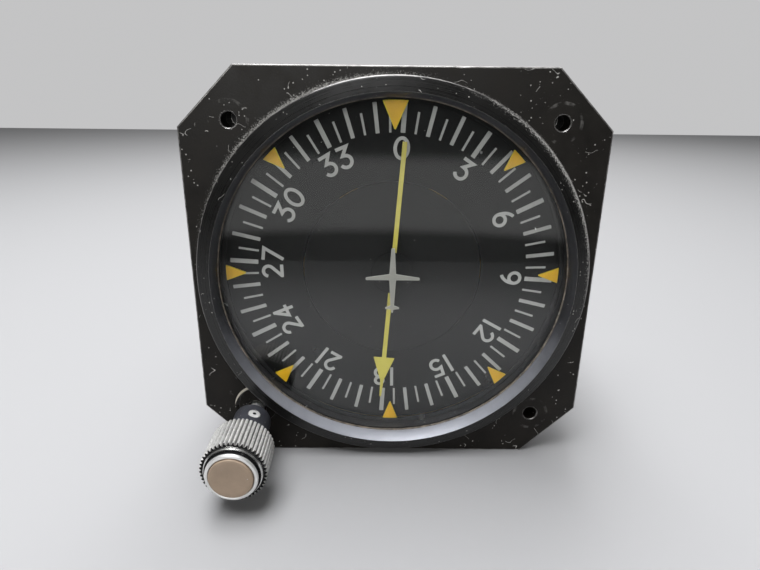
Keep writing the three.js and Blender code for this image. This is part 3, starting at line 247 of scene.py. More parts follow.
def noise_of(tree, scale, detail, rough=0.5, where=None):
    """Noise with so many bumps to the metre."""
    sockets = {"Vector": here(tree) if where is None else where, "Scale": scale, "Detail": detail,
               "Roughness": rough}
    return put(tree, "TexNoise", sockets).outputs["Fac"]


def beside_axis(tree, x, z):
    """How far a point lies to the right of an axis, and how far above it."""
    spot = put(tree, "SeparateXYZ", {0: here(tree)})
    return [sum_of(tree, "SUBTRACT", spot.outputs[way], axis) for way, axis in (("X", x), ("Z", z))]


def distance(tree, across, above):
    """The length of the slanting side of a right-angled triangle."""
    squares = [sum_of(tree, "MULTIPLY", side, side) for side in (across, above)]
    return sum_of(tree, "SQRT", sum_of(tree, "ADD", *squares))


# %% Worn edges: where the rounded surface and the true one face different ways, there is an edge
FLAT_AGREES, SHARP_AGREES, EDGE_GAIN = 0.995, 0.86, 4.0
worn_edges, given, result = effect("worn_edges", {"Width": 0.0003, "Patches": 600.0, "Amount": 0.5}, "Mask")
rounded = put(worn_edges, "Bevel", {"Radius": given["Width"]}, samples=6)
true_normal = put(worn_edges, "NewGeometry").outputs["Normal"]
facing = put(worn_edges, "VectorMath", {0: rounded.outputs[0], 1: true_normal}, operation="DOT_PRODUCT")
edge = span(worn_edges, facing.outputs["Value"], FLAT_AGREES, SHARP_AGREES)
patch = noise_of(worn_edges, given["Patches"], 5.0, 0.7)
broken = sum_of(worn_edges, "MULTIPLY", edge, sum_of(worn_edges, "ADD", patch, 0.5))
limit = sum_of(worn_edges, "SUBTRACT", 1.0, given["Amount"])
over = sum_of(worn_edges, "MULTIPLY", sum_of(worn_edges, "SUBTRACT", broken, limit), EDGE_GAIN, clamp=True)
worn_edges.links.new(over, result[0])

# %% Dust: one speck in a share of the cells, each with its own size, and more of them in some patches
PATCHES, PATCH_FROM, PATCH_TO, SPARSE, CROWDED = 130.0, 0.48, 0.66, 0.15, 3.4
FINEST_SPECK, LARGEST_SPECK = 0.06, 0.42
dust, given, result = effect("dust", {"Scale": 3000.0, "Share": 0.1}, "Mask")
cells = put(dust, "TexVoronoi", {"Vector": here(dust), "Scale": given["Scale"]})
chance = put(dust, "SeparateColor", {0: cells.outputs["Color"]})
clump = span(dust, noise_of(dust, PATCHES, 2.0), PATCH_FROM, PATCH_TO, SPARSE, CROWDED)
chosen = sum_of(dust, "LESS_THAN", chance.outputs[0], sum_of(dust, "MULTIPLY", given["Share"], clump))
size = span(dust, chance.outputs[1], 0.0, 1.0, FINEST_SPECK, LARGEST_SPECK)
speck = sum_of(dust, "LESS_THAN", cells.outputs["Distance"], size)
dust.links.new(sum_of(dust, "MULTIPLY", chosen, speck), result[0])

# %% Lint: thin level lines of a slow noise, kept only in a few places, look like curled fibres
LINT_WIDTH, LINT_PLACES = 0.0042, 330.0
lint, given, result = effect("lint", {"Scale": 220.0, "Share": 0.2}, "Mask")
line = sum_of(lint, "COMPARE", noise_of(lint, given["Scale"], 1.0), 0.5)
line.node.inputs[2].default_value = LINT_WIDTH
share = span(lint, given["Share"], 0.0, 1.0, 0.2, 0.8)
kept = sum_of(lint, "LESS_THAN", noise_of(lint, LINT_PLACES, 0.0), share)
lint.links.new(sum_of(lint, "MULTIPLY", line, kept), result[0])

# %% Hairlines: noise drawn out along one direction, so that only thin streaks pass a threshold
HAIR_TURNS = ((0.3, 0.2, 0.5), (1.1, 0.6, 2.1))
HAIR_STRETCH = (1.0, 1.0, 26.0)
NO_HAIRS, MOST_HAIRS, HAIR_GAIN = 0.82, 0.55, 18.0
hairlines, given, result = effect("hairlines", {"Scale": 60.0, "Share": 0.3}, "Mask")
streaks = []
for angles in HAIR_TURNS:
    drawn = put(hairlines, "Mapping", {"Vector": here(hairlines), "Rotation": angles, "Scale": HAIR_STRETCH})
    streaks.append(noise_of(hairlines, given["Scale"], 3.0, 0.7, drawn.outputs[0]))
peak = sum_of(hairlines, "MAXIMUM", *streaks)
gate = span(hairlines, given["Share"], 0.0, 1.0, NO_HAIRS, MOST_HAIRS)
thin = sum_of(hairlines, "MULTIPLY", sum_of(hairlines, "SUBTRACT", peak, gate), HAIR_GAIN, clamp=True)
hairlines.links.new(thin, result[0])

# %% Grain and mottle: the same noise serves as fine relief or as a slow change of tone
TROUGH, CREST = 0.3, 0.7
mottle, given, result = effect("mottle", {"Scale": 400.0, "Detail": 4.0}, "Value")
even = span(mottle, noise_of(mottle, given["Scale"], given["Detail"], 0.62), TROUGH, CREST)
mottle.links.new(even, result[0])

# %% Lathe marks: noise that changes only with the distance from an axis and with the depth
lathe_marks, given, result = effect("lathe_marks", {"Axis X": 0.0, "Axis Z": 0.0, "Scale": 5000.0}, "Value")
away = distance(lathe_marks, *beside_axis(lathe_marks, given["Axis X"], given["Axis Z"]))
depth = put(lathe_marks, "SeparateXYZ", {0: here(lathe_marks)}).outputs["Y"]
place = put(lathe_marks, "CombineXYZ", {"X": away, "Y": depth}).outputs[0]
even = span(lathe_marks, noise_of(lathe_marks, given["Scale"], 2.0, where=place), TROUGH, CREST)
lathe_marks.links.new(even, result[0])

# %% Bands: dust that gathers between two radii, on the side of the axis that a direction points to
FUZZ_LIMIT, FUZZ_GAIN = 0.68, 7.0
band, given, result = effect("band", {"Axis X": 0.0, "Axis Z": 0.0, "Inner": 0.0397, "Outer": 0.0424,
                                      "Toward X": -0.6, "Toward Z": 0.8, "Spread": 0.5, "Scale": 3600.0,
                                      "Fill": 0.38}, "Mask")
across, above = beside_axis(band, given["Axis X"], given["Axis Z"])
away = distance(band, across, above)
along = sum_of(band, "ADD", sum_of(band, "MULTIPLY", across, given["Toward X"]),
               sum_of(band, "MULTIPLY", above, given["Toward Z"]))
side = span(band, sum_of(band, "DIVIDE", along, away), given["Spread"], 1.0)
near = span(band, away, given["Outer"], given["Inner"])
heap = sum_of(band, "MULTIPLY", side, sum_of(band, "MULTIPLY", near, near))
filled = sum_of(band, "MULTIPLY", heap, given["Fill"])
grit = noise_of(band, given["Scale"], 4.0, 0.8)
fuzz = sum_of(band, "SUBTRACT", sum_of(band, "ADD", grit, filled), FUZZ_LIMIT)
band.links.new(sum_of(band, "MULTIPLY", fuzz, FUZZ_GAIN, clamp=True), result[0])

# %% Rubs: the faint rings that screw heads and washers leave round a hole
RUB_PATCHES, RUB_FROM, RUB_TO = 420.0, 0.52, 0.64
rubs, given, result = effect("rubs", {"Hole X": 0.031, "Hole Z": 0.031, "Radius": 0.0036, "Width": 0.0003},
                             "Mask")
away = distance(rubs, *beside_axis(rubs, given["Hole X"], given["Hole Z"]))
ring = sum_of(rubs, "COMPARE", away, given["Radius"])
rubs.links.new(given["Width"], ring.node.inputs[2])
broken = span(rubs, noise_of(rubs, RUB_PATCHES, 6.0, 0.6), RUB_FROM, RUB_TO)
rubs.links.new(sum_of(rubs, "MULTIPLY", ring, broken), result[0])

# %% [markdown]
# ## One recipe for a finish
# Most finishes here are layers: a base whose tone and gloss wander a little, bare metal where an edge has
# worn through, pale dust and lint on top, and a fine relief. The recipe takes the strength of each layer, and
# what a finish doesn't have stays at zero.

# %% The recipe
DUST = (0.46, 0.45, 0.43)
BARE = (0.56, 0.55, 0.53)
WORN_METAL, WORN_POLISH = 0.9, 0.08
DUST_COVERS, DUST_DULLS, RUB_COVERS = 0.8, 0.4, 0.16
LATHE_TONE, LATHE_GLOSS = 0.35, 0.07
looks = {}


def use(tree, group, **values):
    """A node group in a material, with its inputs set. Underscores stand for spaces."""
    sockets = {name.replace("_", " "): value for name, value in values.items()}
    return put(tree, "Group", sockets, node_tree=group).outputs[0]


def finish(name, colour, rough, metal=0.0, tone=0.15, patches=260.0, gloss=0.08, grain=1500.0, relief=0.01,
           bare=None, worn=0.0, width=0.25, dusty=0.0, linty=0.0, scratched=0.0, lathe=None, level=0.5,
           bands=(), holes=()):
    """A layered finish. Widths and relief are in millimetres, scales in bumps to the metre. Each band is a
    direction that dust has gathered towards, with its two radii and how much of the turn it takes up."""
    material = bpy.data.materials.new(name)
    material.use_nodes = True
    looks[name] = material
    tree = material.node_tree
    skin = tree.nodes["Principled BSDF"]
    skin.inputs["Specular IOR Level"].default_value = level
    wander = use(tree, mottle, Scale=patches, Detail=5.0)
    light = rgba([min(1.0, part * (1 + tone)) for part in colour])
    dark = rgba([part * (1 - tone) for part in colour])
    base = blended(tree, wander, dark, light)
    shine = span(tree, wander, 0.0, 1.0, rough - gloss, rough + gloss)
    metallic = metal
    if lathe:
        marks = use(tree, lathe_marks, Axis_X=lathe[0], Axis_Z=lathe[1], Scale=6000.0)
        base = blended(tree, span(tree, marks, 0.0, 1.0, 0.0, LATHE_TONE), base, light)
        shine = sum_of(tree, "ADD", shine, span(tree, marks, 0.0, 1.0, -LATHE_GLOSS, LATHE_GLOSS))
    if bare:
        mask = use(tree, worn_edges, Width=width * MM, Patches=900.0, Amount=worn)
        if scratched:
            mask = sum_of(tree, "MAXIMUM", mask, use(tree, hairlines, Scale=60.0, Share=scratched))
        base = blended(tree, mask, base, rgba(bare))
        metallic = span(tree, mask, 0.0, 1.0, metal, WORN_METAL)
        shine = sum_of(tree, "SUBTRACT", shine, sum_of(tree, "MULTIPLY", mask, WORN_POLISH))
    for across, up in holes:
        rub = use(tree, rubs, Hole_X=across * MM, Hole_Z=DIAL.z + up * MM)
        base = blended(tree, sum_of(tree, "MULTIPLY", rub, RUB_COVERS), base, rgba(DUST))
    if dusty or linty or bands:
        bits = use(tree, dust, Share=dusty)
        if linty:
            bits = sum_of(tree, "MAXIMUM", bits, use(tree, lint, Scale=260.0, Share=linty))
        for toward_x, toward_z, inner, outer, spread in bands:
            heap = use(tree, band, Axis_X=DIAL.x, Axis_Z=DIAL.z, Inner=inner * MM, Outer=outer * MM,
                       Toward_X=toward_x, Toward_Z=toward_z, Spread=spread)
            bits = sum_of(tree, "MAXIMUM", bits, heap)
        base = blended(tree, sum_of(tree, "MULTIPLY", bits, DUST_COVERS), base, rgba(DUST))
        shine = sum_of(tree, "ADD", shine, sum_of(tree, "MULTIPLY", bits, DUST_DULLS), clamp=True)
    tree.links.new(base, skin.inputs["Base Color"])
    tree.links.new(shine, skin.inputs["Roughness"])
    if isinstance(metallic, float):
        skin.inputs["Metallic"].default_value = metallic
    else:
        tree.links.new(metallic, skin.inputs["Metallic"])
    if relief:
        fine = use(tree, mottle, Scale=grain, Detail=3.0)
        bump = put(tree, "Bump", {"Height": fine, "Distance": relief * MM, "Strength": 1.0})
        tree.links.new(bump.outputs[0], skin.inputs["Normal"])
    return tree, skin


print("dust", DUST, "bare metal", BARE)

# %% [markdown]
# ## The finishes
# The flange and bezel are one aluminium casting in satin black paint. The dial is dead flat black, so that
# nothing on it shines, and its figures are a warm grey white. The knob is bare aluminium, once blackened,
# polished by hands. Each line gives the colour and the roughness, then whatever differs from the recipe.

# %% Mix the paints of the casting and the dial
MOUNT_HOLE = 31.435
MOUNT_PLACES = ((-MOUNT_HOLE, MOUNT_HOLE), (MOUNT_HOLE, MOUNT_HOLE), (MOUNT_HOLE, -MOUNT_HOLE))
finish("flange_paint", (0.0074, 0.0062, 0.0048), 0.42, tone=0.35, patches=180.0, grain=2600.0,
       relief=0.008, bare=BARE, worn=0.5, width=0.15, dusty=0.035, linty=0.22, scratched=0.2, level=0.2,
       bands=((-0.62, 0.78, 39.7, 42.0, 0.45), (0.8, 0.6, 39.7, 40.6, 0.6)), holes=MOUNT_PLACES)
finish("worn_rim", (0.16, 0.155, 0.15), 0.36, 0.6, tone=0.7, patches=700.0, gloss=0.1,
       bare=(0.62, 0.61, 0.60), worn=0.5, width=0.12, scratched=0.5)
finish("bezel_paint", (0.0055, 0.0054, 0.0051), 0.30, tone=0.2, patches=150.0, gloss=0.04, grain=3000.0,
       relief=0.003, bare=BARE, worn=0.5, width=0.1, dusty=0.03, linty=0.08, scratched=0.1, lathe=DIAL_AXIS,
       level=0.35, bands=((0.86, 0.5, 39.6, 37.4, 0.6),))
finish("dial_black", (0.0045, 0.0047, 0.0047), 0.8, tone=0.12, gloss=0.04, relief=0.0, dusty=0.001,
       level=0.12)
finish("centre_black", (0.0055, 0.0058, 0.0058), 0.78, tone=0.12, gloss=0.04, relief=0.0, dusty=0.0015,
       level=0.12)
finish("figures", (0.275, 0.275, 0.267), 0.6, tone=0.06, patches=900.0, grain=6000.0, relief=0.004)
finish("ticks", (0.245, 0.245, 0.238), 0.6, tone=0.08, patches=900.0, grain=6000.0, relief=0.004)
finish("plane_paint", (0.40, 0.40, 0.37), 0.55, tone=0.06, patches=700.0, relief=0.004,
       bare=(0.62, 0.62, 0.58), worn=0.2, width=0.08)
finish("tab_paint", (0.44, 0.25, 0.002), 0.5, tone=0.1, patches=420.0, relief=0.004,
       bare=(0.36, 0.40, 0.015), worn=0.7, width=0.3, level=0.3)
finish("needle_paint", (0.36, 0.315, 0.04), 0.5, tone=0.08, patches=500.0,
       bare=(0.40, 0.38, 0.10), worn=0.35, width=0.1)
finish("cap_black", (0.0048, 0.005, 0.005), 0.8, tone=0.1, relief=0.0, dusty=0.002, level=0.1)
finish("cream_rubber", (0.13, 0.11, 0.088), 0.8, tone=0.85, patches=900.0, relief=0.02, dusty=0.03)
print("finishes so far:", len(looks))

# %% Mix the finishes of the knob
finish("hub_blue", (0.055, 0.057, 0.068), 0.38, 0.35, tone=0.25, gloss=0.06, relief=0.005, bare=BARE,
       worn=0.42, width=0.12, dusty=0.05, scratched=0.22, lathe=KNOB_AXIS)
finish("bright_steel", (0.72, 0.72, 0.70), 0.26, 1.0, tone=0.06, gloss=0.05, relief=0.003, scratched=0.2,
       lathe=KNOB_AXIS)
finish("ring_steel", (0.76, 0.76, 0.75), 0.4, 0.75, tone=0.05, gloss=0.04, relief=0.003, scratched=0.15,
       lathe=KNOB_AXIS)
finish("white_metal", (0.60, 0.60, 0.585), 0.55, 0.3, tone=0.08, patches=900.0, relief=0.006,
       bare=(0.8, 0.8, 0.78), worn=0.2, width=0.08, dusty=0.02)
finish("tan_cap", (0.275, 0.205, 0.146), 0.42, tone=0.08, patches=500.0, gloss=0.06, relief=0.008,
       bare=(0.30, 0.24, 0.16), worn=0.3, width=0.15, dusty=0.012, scratched=0.12)
finish("grip_black", (0.005, 0.005, 0.0055), 0.7, tone=0.3, bare=BARE, worn=0.3, width=0.06, dusty=0.02,
       scratched=0.1, level=0.12)
finish("shaft_white", (0.85, 0.85, 0.83), 0.45, 0.1, tone=0.06, gloss=0.05, relief=0.004, scratched=0.2,
       lathe=KNOB_AXIS)
print("finishes so far:", len(looks))

# %% Mix the finishes of the rear half and of what is inside
finish("case_paint", (0.017, 0.0165, 0.016), 0.42, patches=120.0, gloss=0.05, grain=1800.0, relief=0.014,
       bare=BARE, worn=0.45, width=0.3, dusty=0.012, scratched=0.14)
finish("cast_metal", (0.30, 0.30, 0.29), 0.55, 0.75, tone=0.2, patches=300.0, gloss=0.1, grain=2200.0,
       relief=0.03, bare=(0.6, 0.6, 0.58), worn=0.4, width=0.2, dusty=0.02)
finish("aluminium", (0.60, 0.60, 0.59), 0.36, 0.95, tone=0.1, relief=0.006, lathe=DIAL_AXIS)
finish("steel", (0.50, 0.50, 0.49), 0.3, 1.0, tone=0.12, relief=0.004, bare=BARE, worn=0.3, width=0.1,
       scratched=0.2)
finish("brass", (0.62, 0.44, 0.17), 0.32, 1.0, relief=0.005, bare=(0.78, 0.62, 0.30), worn=0.3, width=0.08)
finish("bronze", (0.12, 0.08, 0.05), 0.5, 1.0, tone=0.25)
finish("black_plastic", (0.014, 0.014, 0.015), 0.5, tone=0.2, dusty=0.01)
finish("blue_sleeve", (0.03, 0.07, 0.20), 0.38, relief=0.006, dusty=0.01)
print("finishes so far:", sorted(looks))

# %% [markdown]
# ## Finishes with a pattern of their own
# Some need more than the layers. Glass is clear and lets the lamps through, so that the dial behind it is
# lit. The grip's ridges are polished and its grooves are darker and duller. Wherever the bezel's nose faces up,
# it carries a pale bluish painted reflection of the overhead light, and the knob's seat shows bare casting
# along one side. The circuit board has tracks and holes, and the transformer's core shows its thin sheets. Each
# of these, apart from the glass, starts from a plain finish, whose base colour then goes over to another by a
# mask.

# %% Change the base colour by a mask
def recoloured(tree, skin, share, colour):
    """Lets the base colour go over to another by a share."""
    base = skin.inputs["Base Color"].links[0].from_socket
    tree.links.new(blended(tree, share, base, colour), skin.inputs["Base Color"])


print("masks ready")

# %% Glass, with specks of dust and a little powder towards its lower rim
LEAST_DULL, MOST_DULL, POWDER_COVERS = 0.2, 0.6, 0.5
glass_material = bpy.data.materials.new("glass")
glass_material.use_nodes = True
looks["glass"] = glass_material
tree = glass_material.node_tree
skin = tree.nodes["Principled BSDF"]
skin.inputs["Base Color"].default_value = (0.97, 0.985, 0.975, 1)
skin.inputs["Transmission Weight"].default_value = 1.0
skin.inputs["IOR"].default_value = 1.46
smear = use(tree, mottle, Scale=60.0, Detail=5.0)
bits = use(tree, dust, Scale=420.0, Share=0.012)
dulled = sum_of(tree, "MULTIPLY", bits, span(tree, smear, 0.0, 1.0, LEAST_DULL, MOST_DULL))
tree.links.new(dulled, skin.inputs["Roughness"])
powdery = use(tree, band, Axis_X=DIAL.x, Axis_Z=DIAL.z, Inner=36.6 * MM, Outer=32.5 * MM, Toward_X=-0.35,
              Toward_Z=-0.94, Spread=0.1, Scale=7000.0, Fill=0.14)
powder = put(tree, "BsdfDiffuse", {"Color": rgba(DUST)}).outputs[0]
share = sum_of(tree, "MULTIPLY", powdery, POWDER_COVERS)
dusted = put(tree, "MixShader", {0: share, 1: skin.outputs[0], 2: powder}).outputs[0]
shadow = put(tree, "LightPath").outputs["Is Shadow Ray"]
clear = put(tree, "BsdfTransparent").outputs[0]
lit_through = put(tree, "MixShader", {0: shadow, 1: dusted, 2: clear}).outputs[0]
tree.links.new(lit_through, tree.nodes["Material Output"].inputs["Surface"])
print("glass:", len(tree.nodes), "nodes")

# %% Polished ridges, darker and duller grooves, told apart by the distance from the knob's axis
GRIP_RADIUS = 6.4
RIDGE_DEPTH = 0.40
RIDGE_TO, GROOVE_FROM = 0.55, 0.95
GROOVE_TONE, GROOVE_DULLS = (0.10, 0.098, 0.095, 1), 0.3
tree, skin = finish("knurl", (0.56, 0.555, 0.54), 0.46, 0.45, tone=0.25, patches=1800.0, gloss=0.1,
                    relief=0.03, bare=(0.74, 0.74, 0.72), worn=0.35, width=0.08, dusty=0.02, scratched=0.3)
away = distance(tree, *beside_axis(tree, *KNOB_AXIS))
wander = span(tree, use(tree, mottle, Scale=500.0, Detail=4.0), 0.0, 1.0, -0.07 * MM, 0.07 * MM)
# Towards the floors of the grooves the base goes darker, duller and less metallic.
groove_share = span(tree, sum_of(tree, "ADD", away, wander), (GRIP_RADIUS - RIDGE_TO * RIDGE_DEPTH) * MM,
             (GRIP_RADIUS - GROOVE_FROM * RIDGE_DEPTH) * MM)
recoloured(tree, skin, groove_share, GROOVE_TONE)
shine = skin.inputs["Roughness"].links[0].from_socket
metallic = skin.inputs["Metallic"].links[0].from_socket
duller = sum_of(tree, "ADD", shine, sum_of(tree, "MULTIPLY", groove_share, GROOVE_DULLS))
ridge_share = sum_of(tree, "SUBTRACT", 1.0, groove_share)
tree.links.new(duller, skin.inputs["Roughness"])
tree.links.new(sum_of(tree, "MULTIPLY", metallic, ridge_share), skin.inputs["Metallic"])
print("knurl:", len(tree.nodes), "nodes")

# %% The slope of the knob's seat: bare casting outside a circle that lies a little low, paint inside it
PAINTED_ASIDE, PAINTED_UP, PAINTED_RADIUS, PAINT_EDGE = 0.78, 0.22, 5.5, 0.04
SEAT_BLACK, BARE_METAL = (0.012, 0.0115, 0.011, 1), 0.35
tree, skin = finish("seat", (0.62, 0.58, 0.50), 0.5, BARE_METAL, grain=2600.0, relief=0.03)
painted_axis = (KNOB_AXIS[0] + PAINTED_ASIDE * MM, KNOB_AXIS[1] + PAINTED_UP * MM)
away = distance(tree, *beside_axis(tree, *painted_axis))
wander = span(tree, use(tree, mottle, Scale=900.0, Detail=4.0), 0.0, 1.0, -0.08 * MM, 0.08 * MM)
covered = span(tree, sum_of(tree, "ADD", away, wander), (PAINTED_RADIUS + PAINT_EDGE) * MM,
               (PAINTED_RADIUS - PAINT_EDGE) * MM)
recoloured(tree, skin, covered, SEAT_BLACK)
tree.links.new(span(tree, covered, 0.0, 1.0, BARE_METAL, 0.0), skin.inputs["Metallic"])
print("seat:", len(tree.nodes), "nodes")

# %% The bezel's nose: satin black, with a pale bluish painted reflection of the overhead light wherever it faces up
PAINTED_SKY, PAINTED_SKY_METAL = (0.29, 0.30, 0.335, 1), 0.3
TOO_STEEP, FLAT_ENOUGH = 0.2, 0.9
tree, skin = finish("nose_paint", (0.014, 0.0145, 0.017), 0.46, tone=0.1, patches=90.0, gloss=0.02,
                    relief=0.0, dusty=0.01, level=0.7)
facing_up = put(tree, "SeparateXYZ", {0: put(tree, "NewGeometry").outputs["Normal"]}).outputs["Z"]
uneven = span(tree, use(tree, mottle, Scale=300.0, Detail=5.0), 0.0, 1.0, -0.05, 0.05)
painted_sky_share = span(tree, sum_of(tree, "ADD", facing_up, uneven), TOO_STEEP, FLAT_ENOUGH)
# Where the nose faces up, its base goes over to a pale bluish, partly metallic colour: a painted reflection of
# the overhead light.
recoloured(tree, skin, painted_sky_share, PAINTED_SKY)
tree.links.new(sum_of(tree, "MULTIPLY", painted_sky_share, PAINTED_SKY_METAL), skin.inputs["Metallic"])
print("nose:", len(tree.nodes), "nodes")

# %% Circuit board: green lacquer over copper tracks, with tinned holes on a grid
LACQUERED_TRACK, TIN = (0.07, 0.22, 0.08, 1), (0.55, 0.54, 0.50, 1)
tree, skin = finish("board", (0.03, 0.12, 0.045), 0.4, tone=0.2)
laid_flat = put(tree, "Mapping", {"Vector": here(tree), "Rotation": (math.pi / 2, 0, 0)}).outputs[0]
tracks = put(tree, "TexBrick", {"Vector": laid_flat, "Scale": 120.0, "Mortar Size": 0.06,
                                "Mortar Smooth": 0.2})
recoloured(tree, skin, tracks.outputs["Fac"], LACQUERED_TRACK)
grid = put(tree, "TexVoronoi", {"Vector": here(tree), "Scale": 390.0, "Randomness": 0.15})
pads = sum_of(tree, "LESS_THAN", grid.outputs["Distance"], 0.16)
recoloured(tree, skin, pads, TIN)
tree.links.new(pads, skin.inputs["Metallic"])
print("board:", len(tree.nodes), "nodes")

# %% Laminated core: thin iron sheets on edge, seen as fine stripes
tree, skin = finish("core", (0.11, 0.115, 0.10), 0.5, 0.5, tone=0.25)
sheets = put(tree, "TexWave", {"Vector": here(tree), "Scale": 320.0, "Distortion": 0.3}, bands_direction="Y")
recoloured(tree, skin, sum_of(tree, "MULTIPLY", sheets.outputs["Fac"], 0.5), grey(0.03))
print("finishes:", sorted(looks))

# %% [markdown]
# ## The pieces that stay inside
# Wheels, bearings, posts and the servo are hidden behind the dial. Their plain solids have the right shape
# already, so each keeps its own and only gets a finish, chosen by what it is made of.

# %% Dress the plain solids
INSIDE = {
    "brass": "card_gear knob_pinion pointer_gear idler_gear",
    "bronze": "card_bushing knob_bearing",
    "steel": "post_nut front_bearing rear_bearing pointer_shaft push_rod button_spring idler_arbor motor_shaft"
             " resolver_rotor",
    "aluminium": "dial_post servo_plate middle_post_1 middle_post_2 middle_post_3 rear_post_1 rear_post_2"
                 " rear_post_3",
    "cast_metal": "switch_cover servo_motor resolver_body resolver_cap",
    "black_plastic": "glass_spacer test_switch",
    "cream_rubber": "switch_plunger",
    "blue_sleeve": "filter_capacitor",
    "board": "circuit_board",
    "core": "transformer",
}
for look, names in INSIDE.items():
    for name in names.split():
        nodes[name].data.materials.clear()
        nodes[name].data.materials.append(looks[look])
print("dressed:", sum(len(names.split()) for names in INSIDE.values()))

# %% [markdown]
# ## Hand tools
# The pieces are modelled as at a bench. A chain of edges drawn through a few points is spun into a turned
# part, or filled and pushed back into a cut-out one. Corners are eased in the drawing, because no real edge is
# quite sharp and an eased one catches the light. Holes are bored with a boolean.

# %% Begin a piece as a chain of edges
DOUBLES = MM / 1000


def deselect():
    """Object mode, with nothing selected."""
    if bpy.context.object and bpy.context.object.mode != "OBJECT":
        bpy.ops.object.mode_set(mode="OBJECT")
    bpy.ops.object.select_all(action="DESELECT")


def select(piece):
    deselect()
    piece.select_set(True)
    bpy.context.view_layer.objects.active = piece


def chain(name, points):
    """One vertex, extruded from point to point, left in edit mode."""
    deselect()
    bpy.ops.mesh.primitive_plane_add(size=MM)
    piece = bpy.context.object
    piece.name = piece.data.name = name
    bpy.ops.object.mode_set(mode="EDIT")
    bpy.ops.mesh.select_mode(type="VERT")
    bpy.ops.mesh.merge(type="CENTER")
    bpy.ops.transform.translate(value=Vector(points[0]) * MM)
    for start, end in zip(points, points[1:]):
        way = (Vector(end) - Vector(start)) * MM
        bpy.ops.mesh.extrude_vertices_move(TRANSFORM_OT_translate={"value": way})
    bpy.ops.mesh.select_all(action="SELECT")
    return piece


def tidy(x=0.0, z=0.0):
    """Merges doubles, turns the faces outwards, moves the piece to its axis, and leaves edit mode."""
    bpy.ops.mesh.select_all(action="SELECT")
    bpy.ops.mesh.remove_doubles(threshold=DOUBLES)
    bpy.ops.mesh.normals_make_consistent(inside=False)
    bpy.ops.transform.translate(value=DIAL + Vector((x, 0, z)) * MM)
    bpy.ops.object.mode_set(mode="OBJECT")


print("points closer than", DOUBLES, "m become one")

# %% Turn a piece on the lathe, or cut one out of a plate
def turned(name, profile, steps=64, x=0.0, z=0.0):
    """A profile of (radius, depth), spun round the axis at x and z. It closes unless it begins on the axis."""
    if profile[0][0] > 0:
        profile = [*profile, profile[0]]
    piece = chain(name, [(radius, depth, 0) for radius, depth in profile])
    bpy.ops.mesh.spin(steps=steps, angle=2 * math.pi, center=(0, 0, 0), axis=(0, 1, 0))
    tidy(x, z)
    return piece


def cut_out(name, outline, front, rear, x=0.0, z=0.0):
    """An outline of (x, z), filled at the front depth and pushed back to the rear one."""
    piece = chain(name, [(across, front, up) for across, up in [*outline, outline[0]]])
    bpy.ops.mesh.remove_doubles(threshold=DOUBLES)
    bpy.ops.mesh.select_all(action="SELECT")
    bpy.ops.mesh.edge_face_add()
    bpy.ops.mesh.extrude_region_move(TRANSFORM_OT_translate={"value": (0, (rear - front) * MM, 0)})
    tidy(x, z)
    return piece


# %% Draw the profile of a tube or a rod, mirror half an outline, and ease the corners of a drawing
STRAIGHT_ON = 175
MOST_OF_A_SIDE = 0.45


def tube(inner, outer, front, rear):
    """The profile of a tube between two radii and two depths."""
    return [(inner, front), (outer, front), (outer, rear), (inner, rear)]


def rod(radius, front, rear):
    return tube(0, radius, front, rear)


def mirrored(half):
    """An outline of (x, z) from its right half."""
    return half + [(-x, z) for x, z in reversed(half)]


def eased(points, ease, arc=3):
    """The closed drawing with its corners rounded. A point on the lathe's axis stays as it is."""
    drawing = []
    for i, point in enumerate(points):
        corner = Vector(point)
        back = Vector(points[i - 1]) - corner
        ahead = Vector(points[(i + 1) % len(points)]) - corner
        if point[0] == 0 or back.angle(ahead) > math.radians(STRAIGHT_ON):
            drawing.append(tuple(point))
            continue
        cut = min(ease, MOST_OF_A_SIDE * back.length, MOST_OF_A_SIDE * ahead.length)
        start, end = corner + back.normalized() * cut, corner + ahead.normalized() * cut
        for k in range(arc + 1):
            t = k / arc
            drawing.append(tuple(start * (1 - t) ** 2 + corner * 2 * t * (1 - t) + end * t ** 2))
    return drawing


print("a rod's 4 points become", len(eased(rod(1, 0, 1), 0.1)), "when its corners are eased")

# %% Join, bore, copy, move and turn
def joined(name, pieces):
    """Several pieces as one, under the first one's name."""
    deselect()
    for piece in pieces:
        piece.select_set(True)
    bpy.context.view_layer.objects.active = pieces[0]
    if len(pieces) > 1:
        bpy.ops.object.join()
    pieces[0].name = pieces[0].data.name = name
    return pieces[0]


def carved(piece, tool, operation="DIFFERENCE"):
    """The piece after a boolean with a tool, which is used up."""
    select(piece)
    cut = piece.modifiers.new("carve", "BOOLEAN")
    cut.object = tool
    cut.operation = operation
    cut.solver = "EXACT"
    bpy.ops.object.modifier_apply(modifier=cut.name)
    bpy.data.objects.remove(tool)
    return piece


def bored(piece, radius, front, rear, steps=32, x=0.0, z=0.0):
    """The piece with a round hole between two depths."""
    return carved(piece, turned("bore", rod(radius, front, rear), steps, x, z))


def copied(piece, name):
    """A copy with its own mesh."""
    copy = piece.copy()
    copy.data = piece.data.copy()
    copy.name = copy.data.name = name
    bpy.context.collection.objects.link(copy)
    return copy


def moved(piece, matrix):
    """The piece after a move that its mesh takes up."""
    select(piece)
    piece.matrix_world = matrix
    bpy.ops.object.transform_apply(location=True, rotation=True, scale=True)
    return piece


def swung(piece, degrees, x=0.0, z=0.0):
    """The piece turned clockwise, as the pilot sees it, round the axis at x and z."""
    axis = Matrix.Translation(DIAL + Vector((x, 0, z)) * MM)
    return moved(piece, axis @ Matrix.Rotation(math.radians(degrees), 4, "Y") @ axis.inverted())


